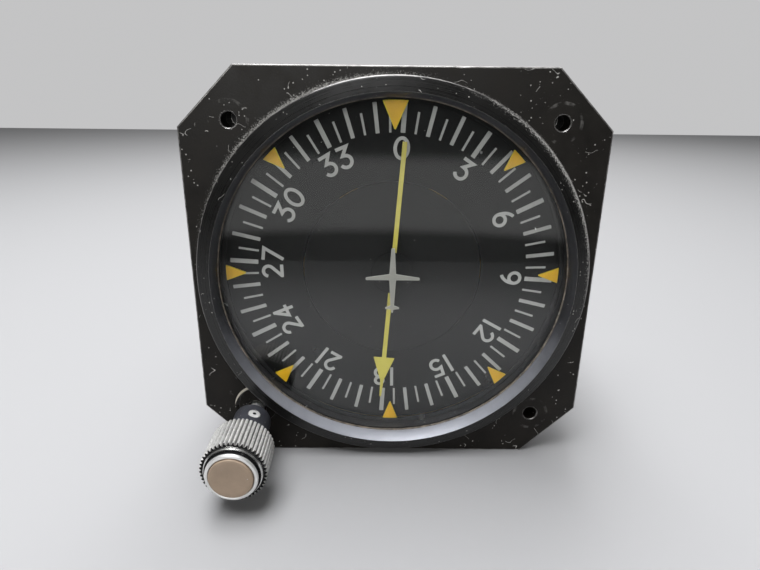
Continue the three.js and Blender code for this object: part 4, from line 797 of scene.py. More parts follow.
# %% Soften, paint and show
def softened(piece, width, segments=2, degrees=30):
    """Real bevels on every edge sharper than the angle."""
    select(piece)
    bevel = piece.modifiers.new("soften", "BEVEL")
    bevel.width = width * MM
    bevel.segments = segments
    bevel.limit_method = "ANGLE"
    bevel.angle_limit = math.radians(degrees)
    bpy.ops.object.modifier_apply(modifier=bevel.name)
    return piece


def painted(piece, names, choose):
    """Gives a piece several finishes. The rule names one for each face, from the face's middle."""
    for name in names:
        piece.data.materials.append(looks[name])
    for face in piece.data.polygons:
        face.material_index = names.index(choose(face.center))


def shown(piece, body, slot, look, *stands_for, smooth=28):
    """Shades, paints and places a finished piece, and hides the plain solids that it stands for."""
    select(piece)
    bpy.ops.object.shade_smooth_by_angle(angle=math.radians(smooth))
    flat = piece.modifiers.new("keep_flat_faces_flat", "WEIGHTED_NORMAL")
    flat.keep_sharp = True
    bpy.ops.object.modifier_apply(modifier=flat.name)
    if not piece.data.materials:
        piece.data.materials.append(looks[look])
    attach(piece, body)
    if stands_for:
        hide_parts(*stands_for)
    print(piece.name, len(piece.data.polygons), "faces, rides", body, "for", stands_for)


# %% [markdown]
# ## The flange and its bezel
# On the real instrument they are one casting. The flange is a square plate with its corners cut off, so it
# starts as a cube whose four long edges are bevelled deep. The bezel is turned: it slopes in from its outer
# edge to a ridge, then its nose drops to the glass. A boolean joins the two, and more booleans bore the three
# mounting holes, each with a small countersink, and the knob's seat.

# %% The flange
FLANGE_WIDTH = (flange_high.x - flange_low.x) / MM
CORNER_CUT = 11.2
FLANGE_EDGE = 0.3
NEAR = MM / 100


def picked_edges(piece, test):
    """In edit mode, selects only the edges whose two ends pass the test."""
    bpy.ops.mesh.select_mode(type="EDGE")
    bpy.ops.mesh.select_all(action="DESELECT")
    shape = bmesh.from_edit_mesh(piece.data)
    for rim in shape.edges:
        rim.select_set(test(rim.verts[0].co, rim.verts[1].co))
    bmesh.update_edit_mesh(piece.data)


deselect()
flange_middle = DIAL + Vector((0, FLANGE_THICKNESS / 2 * MM, 0))
bpy.ops.mesh.primitive_cube_add(size=1, location=flange_middle)
casting = bpy.context.object
casting.scale = (FLANGE_WIDTH * MM, FLANGE_THICKNESS * MM, FLANGE_WIDTH * MM)
bpy.ops.object.transform_apply(location=True, rotation=True, scale=True)
bpy.ops.object.mode_set(mode="EDIT")
picked_edges(casting, lambda a, b: abs(a.x - b.x) < NEAR and abs(a.z - b.z) < NEAR)
bpy.ops.mesh.bevel(offset=CORNER_CUT * MM, segments=1, affect="EDGES")
picked_edges(casting, lambda a, b: abs(a.y - b.y) < NEAR)
bpy.ops.mesh.bevel(offset=FLANGE_EDGE * MM, segments=3, affect="EDGES")
bpy.ops.object.mode_set(mode="OBJECT")
casting.name = casting.data.name = "front_casting"
print("flange:", len(casting.data.polygons), "faces")

# %% The profile of the bezel, with its rounded nose between the ridge and the glass
SEAT_RADIUS, LIP_REAR = 37.9, -0.35
BORE_RADIUS, RIDGE_RADIUS, RIDGE_HEIGHT, NOSE_LENGTH = 35.94, 36.84, 3.3, 2.3
NOSE_STEPS, NOSE_BULGE = 9, 0.3
BEZEL_RADIUS = 39.69
nose = []
for i in range(NOSE_STEPS + 1):
    rise = i / NOSE_STEPS
    angle = math.pi / 2 * (1 - rise)
    inward = (1 - NOSE_BULGE) * (1 - rise) + NOSE_BULGE * math.sin(angle)
    back = (1 - NOSE_BULGE) * (1 - rise) + NOSE_BULGE * (1 - math.cos(angle))
    nose.append((RIDGE_RADIUS - (RIDGE_RADIUS - BORE_RADIUS) * inward, -RIDGE_HEIGHT + NOSE_LENGTH * back))
SLOPE = [(36.95, -3.27), (39.3, -2.32), (39.52, -2.2), (39.65, -2.04), (BEZEL_RADIUS, -1.85)]
BEZEL = [(BORE_RADIUS, LIP_REAR), *nose, *SLOPE, (BEZEL_RADIUS, FLANGE_THICKNESS),
         (SEAT_RADIUS, FLANGE_THICKNESS), (SEAT_RADIUS, LIP_REAR)]
print("bezel:", len(BEZEL), "points")

# %% Sink the knob's seat, set the bezel in, and bore the holes
STEPS_LARGE, STEPS_SMALL = 180, 40
IN_FRONT, BEHIND = -1, 6
OPENING = SEAT_RADIUS + 0.8
MOUNT_RADIUS, COUNTERSINK = 1.5, 0.16
RELIEF_RADIUS, RELIEF_DEPTH, RELIEF_SLOPE, RELIEF_STEP, RELIEF_EDGE = 4.3, 0.5, 0.35, 0.16, 0.45
RELIEF_INWARD, RELIEF_ASIDE = 1.4, 0.40
KNOB_HOLE, KNOB_LIP, KNOB_BUSH = 2.3, 2.2, 3.25
AT_KNOB = (KNOB_X, KNOB_Z)
nearer = 1 - RELIEF_INWARD / math.hypot(*AT_KNOB)
RELIEF_X, RELIEF_Z = KNOB_X * nearer - RELIEF_ASIDE, KNOB_Z * nearer + RELIEF_ASIDE
RELIEF_RIM = RELIEF_RADIUS + RELIEF_SLOPE + RELIEF_EDGE
carved(casting, turned("relief", [
    (0, IN_FRONT), (RELIEF_RIM, IN_FRONT), (RELIEF_RIM, 0), (RELIEF_RADIUS + RELIEF_SLOPE, RELIEF_STEP),
    (RELIEF_RADIUS, RELIEF_DEPTH), (0, RELIEF_DEPTH)], 72, RELIEF_X, RELIEF_Z))
bored(casting, OPENING, IN_FRONT, BEHIND, STEPS_LARGE)
carved(casting, turned("bezel", BEZEL, STEPS_LARGE), "UNION")
for place in MOUNT_PLACES:
    carved(casting, turned("hole", [
        (0, IN_FRONT), (MOUNT_RADIUS + COUNTERSINK, IN_FRONT), (MOUNT_RADIUS + COUNTERSINK, 0),
        (MOUNT_RADIUS, COUNTERSINK), (MOUNT_RADIUS, BEHIND), (0, BEHIND)], STEPS_SMALL, *place))
carved(casting, turned("knob_hole", [
    (0, IN_FRONT), (KNOB_HOLE, IN_FRONT), (KNOB_HOLE, KNOB_LIP), (KNOB_BUSH, KNOB_LIP), (KNOB_BUSH, BEHIND),
    (0, BEHIND)], STEPS_SMALL, *AT_KNOB))
print("casting:", len(casting.data.polygons), "faces")

# %% Captive nuts, closed at the rear, behind the three mounting holes
NUT_REAR, NUT_RADIUS, NUT_BORE, NUT_NECK = 9.0, 3.0, 1.5, 2.4
for i, place in enumerate(MOUNT_PLACES):
    nut = turned(f"captive_nut_{i + 1}", [
        (0, NUT_REAR - 0.6), (NUT_BORE, NUT_REAR - 0.6), (NUT_BORE, FLANGE_THICKNESS),
        (NUT_RADIUS, FLANGE_THICKNESS), (NUT_RADIUS, FLANGE_THICKNESS + 2.6),
        (NUT_NECK, FLANGE_THICKNESS + 3.0), (NUT_NECK, NUT_REAR - 0.2), (NUT_NECK - 0.2, NUT_REAR),
        (0, NUT_REAR)], 32, *place)
    shown(nut, "instrument", "steel", "case_paint")

# %% Five finishes on one casting: flange, bezel, the bare slope of the knob's seat, the nose and rubbed edges
BARE_FROM, BARE_TO = 80, 178
RUBBED_DEPTH = (-2.25, -1.9)
RUBBED_RADIUS = 39.45


def casting_look(middle):
    """The finish of a face, by how far out, how deep and how near the seat and the holes it lies."""
    across, up = (middle.x - DIAL.x) / MM, (middle.z - DIAL.z) / MM
    depth, radius = (middle.y - DIAL.y) / MM, math.hypot(across, up)
    aside = Vector((across - RELIEF_X, up - RELIEF_Z))
    on_bare_side = BARE_FROM < math.degrees(math.atan2(aside.y, aside.x)) < BARE_TO
    at_hole = min(math.hypot(across - x, up - z) for x, z in MOUNT_PLACES)
    outline = max(abs(across), abs(up), (abs(across) + abs(up) + CORNER_CUT) / 2)
    if on_bare_side and RELIEF_RADIUS < aside.length < RELIEF_RIM and 0 < depth < RELIEF_DEPTH:
        return "seat"
    if 0.01 < depth < 0.3 and (at_hole < MOUNT_RADIUS + 0.2 or outline > FLANGE_WIDTH / 2 - FLANGE_EDGE):
        return "worn_rim"
    if depth < LIP_REAR and radius < RIDGE_RADIUS:
        return "nose_paint"
    if RUBBED_DEPTH[0] < depth < RUBBED_DEPTH[1] and radius > RUBBED_RADIUS:
        return "worn_rim"
    return "bezel_paint" if depth < -0.02 else "flange_paint"


painted(casting, ("flange_paint", "bezel_paint", "seat", "nose_paint", "worn_rim"), casting_look)
shown(casting, "instrument", "black_paint", "flange_paint", "flange_casting")

# %% [markdown]
# ## Glass and gasket
# The glass is a turned disc with its edge ground off a little. It sits on a cream gasket, which shows as a
# thin pale line round the foot of the bezel's wall.

# %% Grind the glass and lay the gasket
GLASS_FRONT, GLASS_REAR, GLASS_RADIUS, GASKET_INNER = 0.15, 2.15, 37.6, 35.76
glass = turned("front_glass", eased(rod(GLASS_RADIUS, GLASS_FRONT, GLASS_REAR), 0.2), 144)
shown(glass, "instrument", "glass", "glass", "cover_glass")
gasket = turned("gasket_ring", eased(tube(GASKET_INNER, GLASS_RADIUS, LIP_REAR, GLASS_FRONT), 0.15), 144)
shown(gasket, "instrument", "cream_rubber", "cream_rubber", "glass_gasket")

# %% [markdown]
# ## The mask and its eight tabs
# A thin black ring lies between the flange and the housing. Eight painted tabs reach inward from it over the
# card, the top one larger than the rest. A tab of each kind is drawn, cut out and softened, and the small
# ones are turned copies.

# %% Cut the mask and the tabs
MASK_BORE, MASK_RADIUS, MASK_FRONT, MASK_REAR = 35.2, 40.4, 4.4, 4.8
TAB_OVERLAP, TAB_TIP = 0.1, 0.12
mask = turned("mask_ring", eased(tube(MASK_BORE, MASK_RADIUS, MASK_FRONT, MASK_REAR), 0.08), 144)
shown(mask, "instrument", "dial_black", "dial_black", "index_ring")


def tab(name, tip, width):
    """A pointed tab whose base follows the mask's bore."""
    base = [width / 2 * share for share in (1, 0.5, 0, -0.5, -1)]
    base = [(across, math.sqrt((MASK_BORE + TAB_OVERLAP) ** 2 - across ** 2)) for across in base]
    return softened(cut_out(name, [(TAB_TIP, tip), *base, (-TAB_TIP, tip)], MASK_FRONT, MASK_REAR), 0.06)


tabs = [tab("top_tab", 29.75, 5.1)]
plain_tab = tab("side_tab", 31.1, 3.45)
for i in range(1, 8):
    tabs.append(swung(copied(plain_tab, "tab"), 45 * i))
bpy.data.objects.remove(plain_tab)
shown(joined("index_tabs", tabs), "instrument", "mark_yellow", "tab_paint", "index_ring")

# %% [markdown]
# ## The compass card
# The card is a flat black ring. Its ticks and numerals are printed, so they stand a hair above it. The card is
# turned three degrees clockwise, as in the photograph. A tick comes every five degrees, each tenth degree has
# a longer and wider one, and under the numerals it is wider still.

# %% The card and the middle of the dial
CARD_FRONT, CARD_REAR, CARD_BORE, CARD_RADIUS = 7.1, 7.6, 19.25, 36.6
MIDDLE_BORE, MIDDLE_RADIUS = 2.6, 19.1
CARD_TURN = 3.27
card = turned("card_ring", eased(tube(CARD_BORE, CARD_RADIUS, CARD_FRONT, CARD_REAR), 0.06), 144)
shown(card, "card", "dial_black", "dial_black", "compass_card")
middle = turned("dial_middle", eased(tube(MIDDLE_BORE, MIDDLE_RADIUS, CARD_FRONT, CARD_REAR), 0.06), 120)
shown(middle, "instrument", "dial_black", "centre_black", "centre_disc")

# %% The ticks: one of each kind is cut out, then copied round the card
INK = 0.03
TICK_INNER = 28.95


def tick(name, width, outer):
    """A printed bar that points outwards."""
    half = width / 2
    bar = [(-half, TICK_INNER), (half, TICK_INNER), (half, outer), (-half, outer)]
    return cut_out(name, eased(bar, 0.08, 2), CARD_FRONT - INK, CARD_FRONT)


kinds = {30: tick("wide", 0.96, 34.95), 10: tick("long", 0.8, 34.95), 5: tick("short", 0.46, 33.25)}
ticks = []
for bearing in range(0, 360, 5):
    kind = 30 if bearing % 30 == 0 else 10 if bearing % 10 == 0 else 5
    ticks.append(swung(copied(kinds[kind], "tick"), bearing + CARD_TURN))
for bar in kinds.values():
    bpy.data.objects.remove(bar)
shown(joined("card_ticks", ticks), "card", "figure_grey", "ticks")

# %% [markdown]
# ## The numerals
# They are engraver's figures: a single stroke of even width, a flat top on the three, and a bare upright for
# the one. Each figure is a pen line, a flat curve with a flat nib as its bevel, which Blender mitres at the
# corners. The curve is made a mesh before it is moved. Each figure stands on its own radius, with its head
# outwards.

# %% Cut the nib
NIB = 0.70
FIGURE_HEIGHT = 4.72
TOP = (FIGURE_HEIGHT - NIB) / 2
END = FIGURE_HEIGHT / 2
deselect()
bpy.ops.curve.primitive_bezier_circle_add()
nib = bpy.context.object
nib.name = "nib"
nib.data.splines.remove(nib.data.splines[0])
section = nib.data.splines.new("POLY")
section.points.add(3)
half, deep = NIB / 2 * MM, INK * MM
for point, place in zip(section.points, ((-half, 0), (half, 0), (half, deep), (-half, deep))):
    point.co = (*place, 0, 1)
section.use_cyclic_u = True
print("nib:", NIB, "by", INK, "mm")

# %% Draw with the pen
def pen_line(points, loop=False):
    """One stroke of the pen through points in millimetres, as a closed mesh that lies flat."""
    deselect()
    bpy.ops.curve.primitive_bezier_curve_add()
    stroke = bpy.context.object
    drawing = stroke.data
    drawing.splines.remove(drawing.splines[0])
    drawing.dimensions = "2D"
    drawing.fill_mode = "NONE"
    path = drawing.splines.new("POLY")
    path.points.add(len(points) - 1)
    for point, (across, up) in zip(path.points, points):
        point.co = (across * MM, up * MM, 0, 1)
    path.use_cyclic_u = loop
    drawing.bevel_mode = "OBJECT"
    drawing.bevel_object = nib
    drawing.use_fill_caps = True
    bpy.ops.object.convert(target="MESH")
    bpy.ops.object.mode_set(mode="EDIT")
    bpy.ops.mesh.select_all(action="SELECT")
    bpy.ops.mesh.remove_doubles(threshold=MM / 5000)
    bpy.ops.mesh.normals_make_consistent(inside=False)
    bpy.ops.object.mode_set(mode="OBJECT")
    return bpy.context.object


def bend(x, z, wide, tall, start, end, points=14):
    """Points on an oval, from one angle to another in degrees."""
    steps = [math.radians(start + (end - start) * i / (points - 1)) for i in range(points)]
    return [(x + wide * math.cos(a), z + tall * math.sin(a)) for a in steps]


# %% The ten figures, each as its strokes, with the width it takes up
BOWL = 1.2
FIGURES = {
    "0": (3.45, [(bend(0, 0, 1.33, TOP, 0, 348, 30), True)]),
    "1": (1.3, [([(0, -END), (0, END)], False)]),
    "2": (3.1, [(bend(-0.05, TOP - 1.14, 1.14, 1.14, 172, -38, 14) + [(-1.12, -TOP)], False),
                ([(-1.42, -TOP), (1.42, -TOP)], False)]),
    "3": (3.05, [([(-1.3, TOP), (1.02, TOP), (-0.35, 0.42)]
                  + bend(-0.12, -TOP + BOWL, 1.22, BOWL, 82, -158, 18), False)]),
    "4": (3.1, [([(0.5, -END), (0.5, END)], False), ([(0.5, TOP), (-1.1, -0.78), (1.5, -0.78)], False)]),
    "5": (3.1, [([(1.35, TOP), (-0.75, TOP), (-0.95, 0.12)]
                 + bend(-0.03, -TOP + BOWL, 1.2, BOWL, 118, -150, 18), False)]),
    "6": (3.2, [(bend(0, -TOP + BOWL, BOWL, BOWL, 0, 345, 24), True),
                (bend(1.16, -0.75, 2.36, 2.95, 180, 106, 10), False)]),
    "7": (3.1, [([(-1.45, TOP), (1.18, TOP), (-0.78, -END)], False)]),
    "8": (3.0, [(bend(0, -TOP + 1.12, 1.12, 1.12, 0, 345, 24), True),
                (bend(0, TOP - 0.88, 0.9, 0.88, 0, 345, 22), True)]),
}
width, strokes = FIGURES["6"]
FIGURES["9"] = (width, [([(-x, -z) for x, z in points], loop) for points, loop in strokes])
print("figures:", {sign: len(strokes) for sign, (width, strokes) in FIGURES.items()})

# %% Draw each figure once: upright, with its face towards the pilot and its middle at the origin
masters = {}
for sign, (width, strokes) in FIGURES.items():
    drawn = [pen_line(points, loop) for points, loop in strokes]
    for stroke in drawn[1:]:
        carved(drawn[0], stroke, "UNION")
    masters[sign] = moved(drawn[0], Matrix.Rotation(math.pi / 2, 4, "X"))
print("figures drawn:", len(masters))

# %% Set the numerals round the card
NUMERAL_RADIUS = 25.92
NUMERAL_GAP = 0.62
lifted = Matrix.Translation(DIAL + Vector((0, CARD_FRONT, NUMERAL_RADIUS)) * MM)
numerals = []
for number in range(0, 36, 3):
    text = str(number)
    widths = [FIGURES[sign][0] for sign in text]
    left = -(sum(widths) + NUMERAL_GAP * (len(text) - 1)) / 2
    for sign, width in zip(text, widths):
        aside = math.degrees((left + width / 2) / NUMERAL_RADIUS)
        copy = moved(copied(masters[sign], "numeral"), lifted)
        numerals.append(swung(copy, 10 * number + CARD_TURN + aside))
        left += width + NUMERAL_GAP
for piece in [nib, *masters.values()]:
    bpy.data.objects.remove(piece)
shown(joined("card_numerals", numerals), "card", "figure_grey", "figures")

# %% [markdown]
# ## The aircraft figure and the pointer
# The little aircraft is cut from thin sheet and fixed behind the glass. The pointer is sheet too: a bar with
# an arrowhead that narrows to a long tip, pressed on a turned hub with a black cap.

# %% Cut the aircraft figure
PLANE_REAR = GLASS_REAR + 0.2
WING = [(0.35, 6.3), (0.7, 0.7), (5.65, -0.05), (5.65, -0.62), (0.7, -0.62), (0.38, -6.35), (1.5, -6.72),
        (1.5, -7.08), (0.2, -7.25), (0.2, -7.95)]
plane = cut_out("little_aircraft", eased(mirrored(WING), 0.22, 3), GLASS_REAR, PLANE_REAR)
shown(softened(plane, 0.04), "instrument", "figure_grey", "plane_paint", "aircraft_symbol")

# %% Cut the pointer and turn its hub
POINTER_TURN = 184.3
BLADE_FRONT, BLADE_REAR, EYE_RADIUS = 5.3, 5.65, 3.2
BARREL_HOLE, HOLE_FRONT, HOLE_REAR = 1.95, 4, 7
CAP_RADIUS, CAP_FRONT, CAP_REAR, BARREL_RADIUS, BARREL_BORE, BARREL_REAR = 4.5, 4.85, 5.25, 1.9, 0.8, 6.95
BLADE = [(0.475, -27.4), (0.475, 20.3), (2.35, 20.3), (0.375, 26.0), (0.2, 30.2)]
blade = cut_out("pointer_blade", eased(mirrored(BLADE), 0.12, 2), BLADE_FRONT, BLADE_REAR)
carved(blade, turned("eye", rod(EYE_RADIUS, BLADE_FRONT, BLADE_REAR), 48), "UNION")
bored(blade, BARREL_HOLE, HOLE_FRONT, HOLE_REAR, 40)
swung(softened(blade, 0.05), POINTER_TURN)
shown(blade, "pointer", "pointer_yellow", "needle_paint", "needle")
cap = turned("pointer_cap", eased([
    (0, CAP_FRONT), (CAP_RADIUS, CAP_FRONT), (CAP_RADIUS, CAP_REAR), (BARREL_RADIUS, CAP_REAR),
    (BARREL_RADIUS, BARREL_REAR), (BARREL_BORE, BARREL_REAR), (BARREL_BORE, CAP_REAR), (0, CAP_REAR)],
    0.12), 72)
shown(cap, "pointer", "black_plastic", "cap_black", "needle_hub")

# %% [markdown]
# ## The knob
# The grip is a turned barrel whose ridges come from 46 grooves, milled with one bar copied round it. Its front
# rim is blackened, with a bright edge on the step that stands out of it, and a turned steel ring holds the tan
# button. Between grip and flange stands the blue-black hub, with the set screw that clamps it on the shaft.

# %% Turn the grip and mill its grooves
GRIP_FOOT, GRIP_EDGE, GRIP_STEP, STEP_RADIUS, GRIP_BORE, GRIP_FLOOR = -12.6, -21.2, -21.75, 5.62, 5.15, -16.4
SHAFT_BORE, SPIGOT, SPIGOT_END = 0.85, 2.85, -14.6
RIDGES, GROOVE_FOOT, GROOVE_HALF = 46, 0.10, 0.27
grip = turned("knurled_grip", [
    (GRIP_RADIUS - 0.35, GRIP_FOOT), (GRIP_RADIUS, GRIP_FOOT - 0.25), (GRIP_RADIUS, GRIP_EDGE + 0.32),
    (GRIP_RADIUS, GRIP_EDGE + 0.08), (GRIP_RADIUS - 0.08, GRIP_EDGE), (STEP_RADIUS + 0.04, GRIP_EDGE),
    (STEP_RADIUS, GRIP_EDGE - 0.04), (STEP_RADIUS, GRIP_STEP + 0.18), (STEP_RADIUS - 0.18, GRIP_STEP),
    (GRIP_BORE + 0.08, GRIP_STEP), (GRIP_BORE, GRIP_STEP + 0.08), (GRIP_BORE, GRIP_FLOOR),
    (SHAFT_BORE, GRIP_FLOOR), (SHAFT_BORE, SPIGOT_END), (SPIGOT, SPIGOT_END), (SPIGOT, GRIP_FOOT)],
    120, *AT_KNOB)
groove = cut_out("groove", [
    (-GROOVE_FOOT, GRIP_RADIUS - RIDGE_DEPTH), (GROOVE_FOOT, GRIP_RADIUS - RIDGE_DEPTH),
    (GROOVE_HALF, GRIP_RADIUS - 0.03), (GROOVE_HALF + 0.1, GRIP_RADIUS + 0.3),
    (-GROOVE_HALF - 0.1, GRIP_RADIUS + 0.3), (-GROOVE_HALF, GRIP_RADIUS - 0.03)],
    GRIP_EDGE - 1, GRIP_FOOT + 1, *AT_KNOB)
grooves = [swung(copied(groove, "groove"), 360 * i / RIDGES, *AT_KNOB) for i in range(RIDGES)]
bpy.data.objects.remove(groove)
carved(grip, joined("grooves", grooves))
print("grip:", len(grip.data.polygons), "faces")

# %% Blacken the grip's front rim and its bore, and leave the edge of its step bright
knob_axis = DIAL + Vector((KNOB_X, 0, KNOB_Z)) * MM


def grip_look(middle):
    depth, away = (middle.y - DIAL.y) / MM, (middle - knob_axis).xz.length / MM
    if GRIP_STEP + 0.02 < depth < GRIP_EDGE - 0.02 and away > STEP_RADIUS - 0.17:
        return "bright_steel"
    blackened = depth < GRIP_EDGE + 0.26 or (away < GRIP_BORE + 0.1 and depth < GRIP_FLOOR + 0.1)
    return "grip_black" if blackened else "knurl"


painted(grip, ("knurl", "grip_black", "bright_steel"), grip_look)
shown(grip, "knob", "aluminium", "knurl", "knob_grip", smooth=35)

# %% Turn the hub and drill it for the set screw
HUB_BORE, HUB_RADIUS, HUB_FOOT, HUB_SPIGOT, HUB_END = 1.65, 4.0, -3.6, 2.8, -14.5
SCREW_TURN, SCREW_DEPTH = 19.5, -6.9
screw_axis = DIAL + Vector((KNOB_X, SCREW_DEPTH, KNOB_Z)) * MM
screw_way = Vector((math.sin(math.radians(SCREW_TURN)), 0, math.cos(math.radians(SCREW_TURN))))


def radial(name, profile, steps=32):
    """A piece turned round the set screw's axis, as (radius, distance from the knob's axis)."""
    lay = Matrix.Rotation(math.radians(SCREW_TURN), 4, "Y") @ Matrix.Rotation(math.pi / 2, 4, "X")
    return moved(turned(name, profile, steps), Matrix.Translation(screw_axis) @ lay @ Matrix.Translation(-DIAL))


hub = turned("knob_collar", eased([
    (HUB_BORE, HUB_FOOT), (HUB_RADIUS, HUB_FOOT), (HUB_RADIUS, GRIP_FOOT), (HUB_SPIGOT, GRIP_FOOT),
    (HUB_SPIGOT, HUB_END), (HUB_BORE, HUB_END)], 0.25), 56, *AT_KNOB)
carved(hub, radial("screw_hole", rod(1.37, 0.8, 5)))
shown(hub, "knob", "blue_black", "hub_blue", "knob_hub")

# %% The set screw, with the inside of its six-sided socket painted black as painted shade
SCREW_RADIUS, SCREW_FOOT, SOCKET_RADIUS, SOCKET_FOOT = 1.25, 1.72, 0.42, 3
screw = radial("clamp_screw", eased(rod(SCREW_RADIUS, SCREW_FOOT, HUB_RADIUS), 0.14))
carved(screw, radial("socket", rod(SOCKET_RADIUS, SOCKET_FOOT, 5), 6))


def screw_look(middle):
    reach = (middle - screw_axis).dot(screw_way)
    off_axis = (middle - screw_axis - reach * screw_way).length
    # The faces inside the socket are painted black: a painted shade for the dark inside of the hole.
    socket_shade = off_axis < (SOCKET_RADIUS + 0.03) * MM and reach < (HUB_RADIUS - 0.05) * MM
    return "cap_black" if socket_shade else "white_metal"


painted(screw, ("white_metal", "cap_black"), screw_look)
shown(screw, "knob", "bright_steel", "white_metal", "set_screw")

# %% Turn the shaft, the ring and the button
SHAFT_RADIUS, SHAFT_FRONT, SHAFT_REAR = 1.6, -14.5, 13.4
RING_OUTER, RING_INNER, RING_FRONT, RING_REAR = GRIP_BORE - 0.07, 4.36, -23.02, -18
shaft = turned("knob_spindle", eased(tube(SHAFT_BORE, SHAFT_RADIUS, SHAFT_FRONT, SHAFT_REAR), 0.12), 40,
               *AT_KNOB)
shown(shaft, "knob", "bright_steel", "shaft_white", "knob_shaft")
guide = turned("guide_ring", [
    (RING_INNER, -20.7), (RING_INNER, RING_FRONT + 0.12), (RING_INNER + 0.05, RING_FRONT),
    (RING_INNER + 0.18, RING_FRONT - 0.05), (RING_OUTER - 0.22, RING_FRONT + 0.01),
    (RING_OUTER - 0.09, RING_FRONT + 0.12), (RING_OUTER - 0.03, RING_FRONT + 0.3),
    (RING_OUTER, RING_FRONT + 0.55), (RING_OUTER, RING_FRONT + 0.8), (RING_OUTER, RING_REAR),
    (4.75, RING_REAR), (4.75, -20.7)], 96, *AT_KNOB)


def guide_look(middle):
    """Bright in front, and black where the ring goes down into the grip."""
    outside = (middle - knob_axis).xz.length > 4.8 * MM
    return "grip_black" if outside and middle.y > DIAL.y + (RING_FRONT + 0.6) * MM else "ring_steel"


painted(guide, ("ring_steel", "grip_black"), guide_look)
shown(guide, "knob", "bright_steel", "ring_steel", "button_ring")
button = turned("button_cap", [
    (0, -23.22), (2.0, -23.26), (3.2, -23.36), (3.9, -23.4), (4.13, -23.34), (4.26, -23.2), (4.26, -20.6),
    (4.65, -20.6), (4.65, -19.8), (0.65, -19.8), (0.65, -21.4), (0, -21.4)], 80, *AT_KNOB)
shown(button, "button", "tan_plastic", "tan_cap", "test_button")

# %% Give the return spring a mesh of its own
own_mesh(nodes["button_spring"])

# %% [markdown]
# ## The housing behind the flange
# The card's wheel and the knob's pinion run in a cast housing: a turned drum with a round boss for the pinion,
# four lugs for the screws that hold it to the flange, and three pillars that carry the servo inside the case.

# %% Cast the housing
HOUSING_BORE, HOUSING_RADIUS, RABBET = 39.86, 41.11, 40.45
WEB_FRONT, INSIDE_WEB, HOUSING_REAR = 12.2, 13, 14.0
BOSS_RADIUS, POCKET_OUTER, POCKET_REAR = 6.81, 5.85, 23.4
LUG_CIRCLE, LUG_RADIUS, LUG_REAR, LUG_PLACES = 43.2, 2.9, 7.8, (30, 150, 210, 330)
POST_CIRCLE, POST_PLACES, POST_RADIUS, POST_REAR = 31.0, (90, 210, 330), 3, 24
COLLAR_INNER, COLLAR_OUTER, COLLAR_REAR = 34.75, 36.25, 17


def polar(radius, degrees):
    angle = math.radians(degrees)
    return radius * math.cos(angle), radius * math.sin(angle)


drum = turned("drum", eased([
    (0, WEB_FRONT), (HOUSING_BORE, WEB_FRONT), (HOUSING_BORE, MASK_REAR), (RABBET, MASK_REAR),
    (RABBET, FLANGE_THICKNESS), (HOUSING_RADIUS, FLANGE_THICKNESS), (HOUSING_RADIUS, HOUSING_REAR),
    (COLLAR_OUTER, HOUSING_REAR), (COLLAR_OUTER, COLLAR_REAR), (COLLAR_INNER, COLLAR_REAR),
    (COLLAR_INNER, HOUSING_REAR), (0, HOUSING_REAR)], 0.2), 144)
boss = eased(rod(BOSS_RADIUS, FLANGE_THICKNESS, HOUSING_REAR - 0.01), 0.3)
additions = [turned("boss", boss, 64, *AT_KNOB),
             turned("pocket", eased(rod(POCKET_OUTER, INSIDE_WEB, POCKET_REAR), 0.2), 64, *AT_KNOB)]
for degrees in LUG_PLACES:
    lug = eased(rod(LUG_RADIUS, FLANGE_THICKNESS, LUG_REAR), 0.2)
    additions.append(turned("lug", lug, 32, *polar(LUG_CIRCLE, degrees)))
for degrees in POST_PLACES:
    pillar = eased(rod(POST_RADIUS, INSIDE_WEB, POST_REAR), 0.2)
    additions.append(turned("pillar", pillar, 32, *polar(POST_CIRCLE, degrees)))
for addition in additions:
    carved(drum, addition, "UNION")
print("housing:", len(drum.data.polygons), "faces before it is bored")

# %% Bore the housing
PINION_BORE, SHAFT_HOLE, POCKET_RADIUS, POST_HOLE, SCREW_HOLE = 5.86, 1.75, 4.85, 3.05, 1.22
BEFORE, PAST = 3, 30
bored(drum, PINION_BORE, BEFORE, WEB_FRONT, 48, *AT_KNOB)
bored(drum, SHAFT_HOLE, BEFORE, PAST, 32, *AT_KNOB)
bored(drum, POCKET_RADIUS, HOUSING_REAR, PAST, 48, *AT_KNOB)
bored(drum, POST_HOLE, BEFORE, PAST)
for degrees in LUG_PLACES:
    bored(drum, SCREW_HOLE, BEFORE, 12, 24, *polar(LUG_CIRCLE, degrees))
drum.name = drum.data.name = "cast_drum"
shown(drum, "instrument", "cast_aluminium", "cast_metal", "gear_housing", smooth=35)

# %% [markdown]
# ## Case, cover and connector
# The rear half is a painted tube with a flat cover. The cable's connector stands on the cover: a square
# flange, a ribbed shell with three bayonet pins, and sixteen contacts in a black insert.

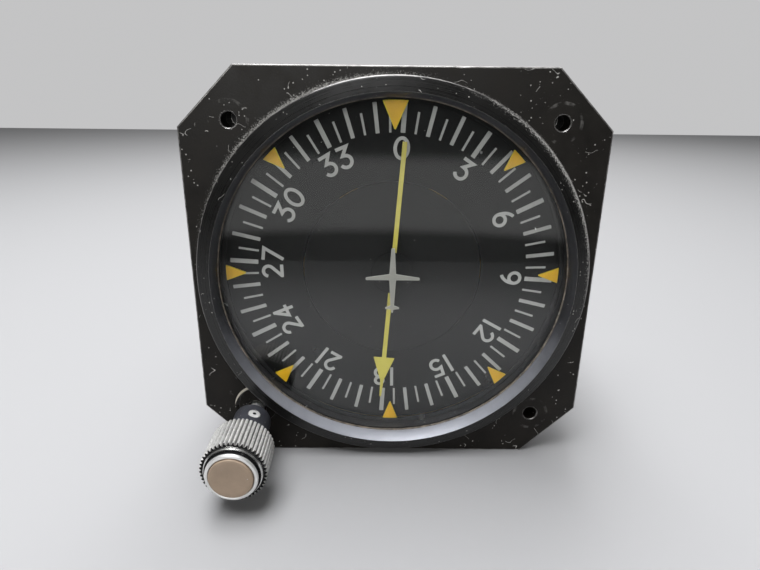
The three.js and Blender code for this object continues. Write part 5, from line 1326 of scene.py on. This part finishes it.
# %% Roll the case and turn the cover
CASE_BORE, CASE_RADIUS, CASE_REAR = 36.3, 37.3, rear_of("case_tube")
COVER_FRONT, COVER_REAR, COVER_HOLE = front_of("rear_cover"), rear_of("rear_cover"), 9.65
OVERRUN = 1
case = turned("case_shell", eased(tube(CASE_BORE, CASE_RADIUS, HOUSING_REAR, CASE_REAR), 0.3), 144)
shown(case, "instrument", "black_paint", "case_paint", "case_tube")
cover = turned("case_cover", eased([
    (0, CASE_REAR), (COLLAR_INNER, CASE_REAR), (COLLAR_INNER, COVER_FRONT), (COLLAR_OUTER, COVER_FRONT),
    (COLLAR_OUTER, CASE_REAR), (CASE_RADIUS, CASE_REAR), (CASE_RADIUS, COVER_REAR), (0, COVER_REAR)], 0.5), 144)
bored(cover, COVER_HOLE, CASE_REAR - OVERRUN, COVER_REAR + OVERRUN, 64)
for degrees in POST_PLACES:
    bored(cover, SCREW_HOLE, CASE_REAR - OVERRUN, COVER_REAR + OVERRUN, 24, *polar(POST_CIRCLE, degrees))
shown(cover, "instrument", "black_paint", "case_paint", "rear_cover")

# %% One slotted screw, copied to its seven places
HEAD_RADIUS, HEAD_HEIGHT, SLOT_DEPTH = 2, 1.3, 0.6
SLOT = [(-3, -0.25), (3, -0.25), (3, 0.25), (-3, 0.25)]


def slotted_screw(name, head, shank_end, shank_radius=1.1):
    """A cheese-head screw at the dial's axis, its head's seat at a depth, with a milled slot."""
    top = head + HEAD_HEIGHT
    body = turned(name, eased([(0, shank_end), (shank_radius, shank_end), (shank_radius, head),
                               (HEAD_RADIUS, head), (HEAD_RADIUS, top), (0, top)], 0.18), 40)
    return softened(carved(body, cut_out("slot", SLOT, top - SLOT_DEPTH, head + 2)), 0.05, 1, 60)


def set_screws(name, master, circle, places, tilt, stands_for):
    """Copies of a screw round a circle, each with its slot turned further, for the plain screws."""
    for i, degrees in enumerate(places):
        copy = swung(copied(master, f"{name}_{i + 1}"), tilt * (i + 1))
        across, up = polar(circle, degrees)
        moved(copy, Matrix.Translation(Vector((across, 0, up)) * MM))
        shown(copy, "instrument", "steel", "steel", f"{stands_for}_{i + 1}")
    bpy.data.objects.remove(master)


set_screws("drum_screw", slotted_screw("drum_master", LUG_REAR, 1.4), LUG_CIRCLE, LUG_PLACES, 37.0,
           "housing_screw")
set_screws("cap_screw", slotted_screw("cap_master", COVER_REAR, front_of("cover_screw_1"), 1.08), POST_CIRCLE,
           POST_PLACES, 51.0, "cover_screw")

# %% Turn the connector's shell, with three bayonet pins
SHELL_RADIUS, SHELL_BORE, SHELL_END = 9.6, 8.4, rear_of("connector_shell")
SHELL_START, SHELL_PLATE, RIB = front_of("connector_shell"), 1.6, 0.5
PLATE_LONG, PLATE_SHORT = 12.5, 9.5
PIN_FOOT, PIN_TOP, PIN_RADIUS, PIN_DEPTH = 8.6, 10.7, 0.9, SHELL_END - 4
corners = mirrored([(PLATE_LONG, PLATE_SHORT), (PLATE_SHORT, PLATE_LONG)])
corners += [(x, -z) for x, z in reversed(corners)]
shell = cut_out("socket_shell", eased(corners, 0.6), COVER_REAR, COVER_REAR + SHELL_PLATE)
softened(shell, 0.15)
carved(shell, turned("barrel", [
    (0, SHELL_START), (SHELL_RADIUS, SHELL_START), (SHELL_RADIUS, COVER_REAR + 3),
    (SHELL_RADIUS + RIB, COVER_REAR + 3.3), (SHELL_RADIUS + RIB, COVER_REAR + 4.5),
    (SHELL_RADIUS, COVER_REAR + 4.8), (SHELL_RADIUS, SHELL_END - 0.4), (SHELL_RADIUS - 0.4, SHELL_END),
    (0, SHELL_END)], 96), "UNION")
outward = Matrix.Rotation(math.pi / 2, 4, "X") @ Matrix.Translation(-DIAL)
for i in range(3):
    pin = turned("pin", eased(rod(PIN_RADIUS, PIN_FOOT, PIN_TOP), 0.2), 24)
    round_shell = Matrix.Rotation(math.radians(120 * i), 4, "Y")
    moved(pin, Matrix.Translation(DIAL + Vector((0, PIN_DEPTH * MM, 0))) @ round_shell @ outward)
    carved(shell, pin, "UNION")
carved(shell, turned("bore", [
    (0, SHELL_START - OVERRUN), (SHELL_BORE, SHELL_START - OVERRUN), (SHELL_BORE, SHELL_END - 0.3),
    (SHELL_BORE + 0.4, SHELL_END + OVERRUN), (0, SHELL_END + OVERRUN)], 96))
shown(shell, "instrument", "aluminium", "aluminium", "connector_shell")

# %% Set the contacts in their insert
INSERT_FACE, INSERT_RADIUS, CONTACT_RADIUS = COVER_REAR + 4.6, 8.35, 0.6
insert = turned("contact_block", eased(rod(INSERT_RADIUS, SHELL_START, INSERT_FACE), 0.3), 80)
shown(insert, "instrument", "black_plastic", "black_plastic", "contact_insert")
CONTACT = [(0, INSERT_FACE - 1.6), (CONTACT_RADIUS, INSERT_FACE - 1.6), (CONTACT_RADIUS, INSERT_FACE + 2.5),
           (0.45, INSERT_FACE + 2.85), (0.2, INSERT_FACE + 3), (0, INSERT_FACE + 3)]
contacts = []
for count, radius in ((1, 0.0), (6, 3.4), (9, 6.2)):
    for i in range(count):
        contacts.append(turned("contact", CONTACT, 16, *polar(radius, 360 * i / count)))
shown(joined("contact_pins", contacts), "instrument", "black_plastic", "brass")
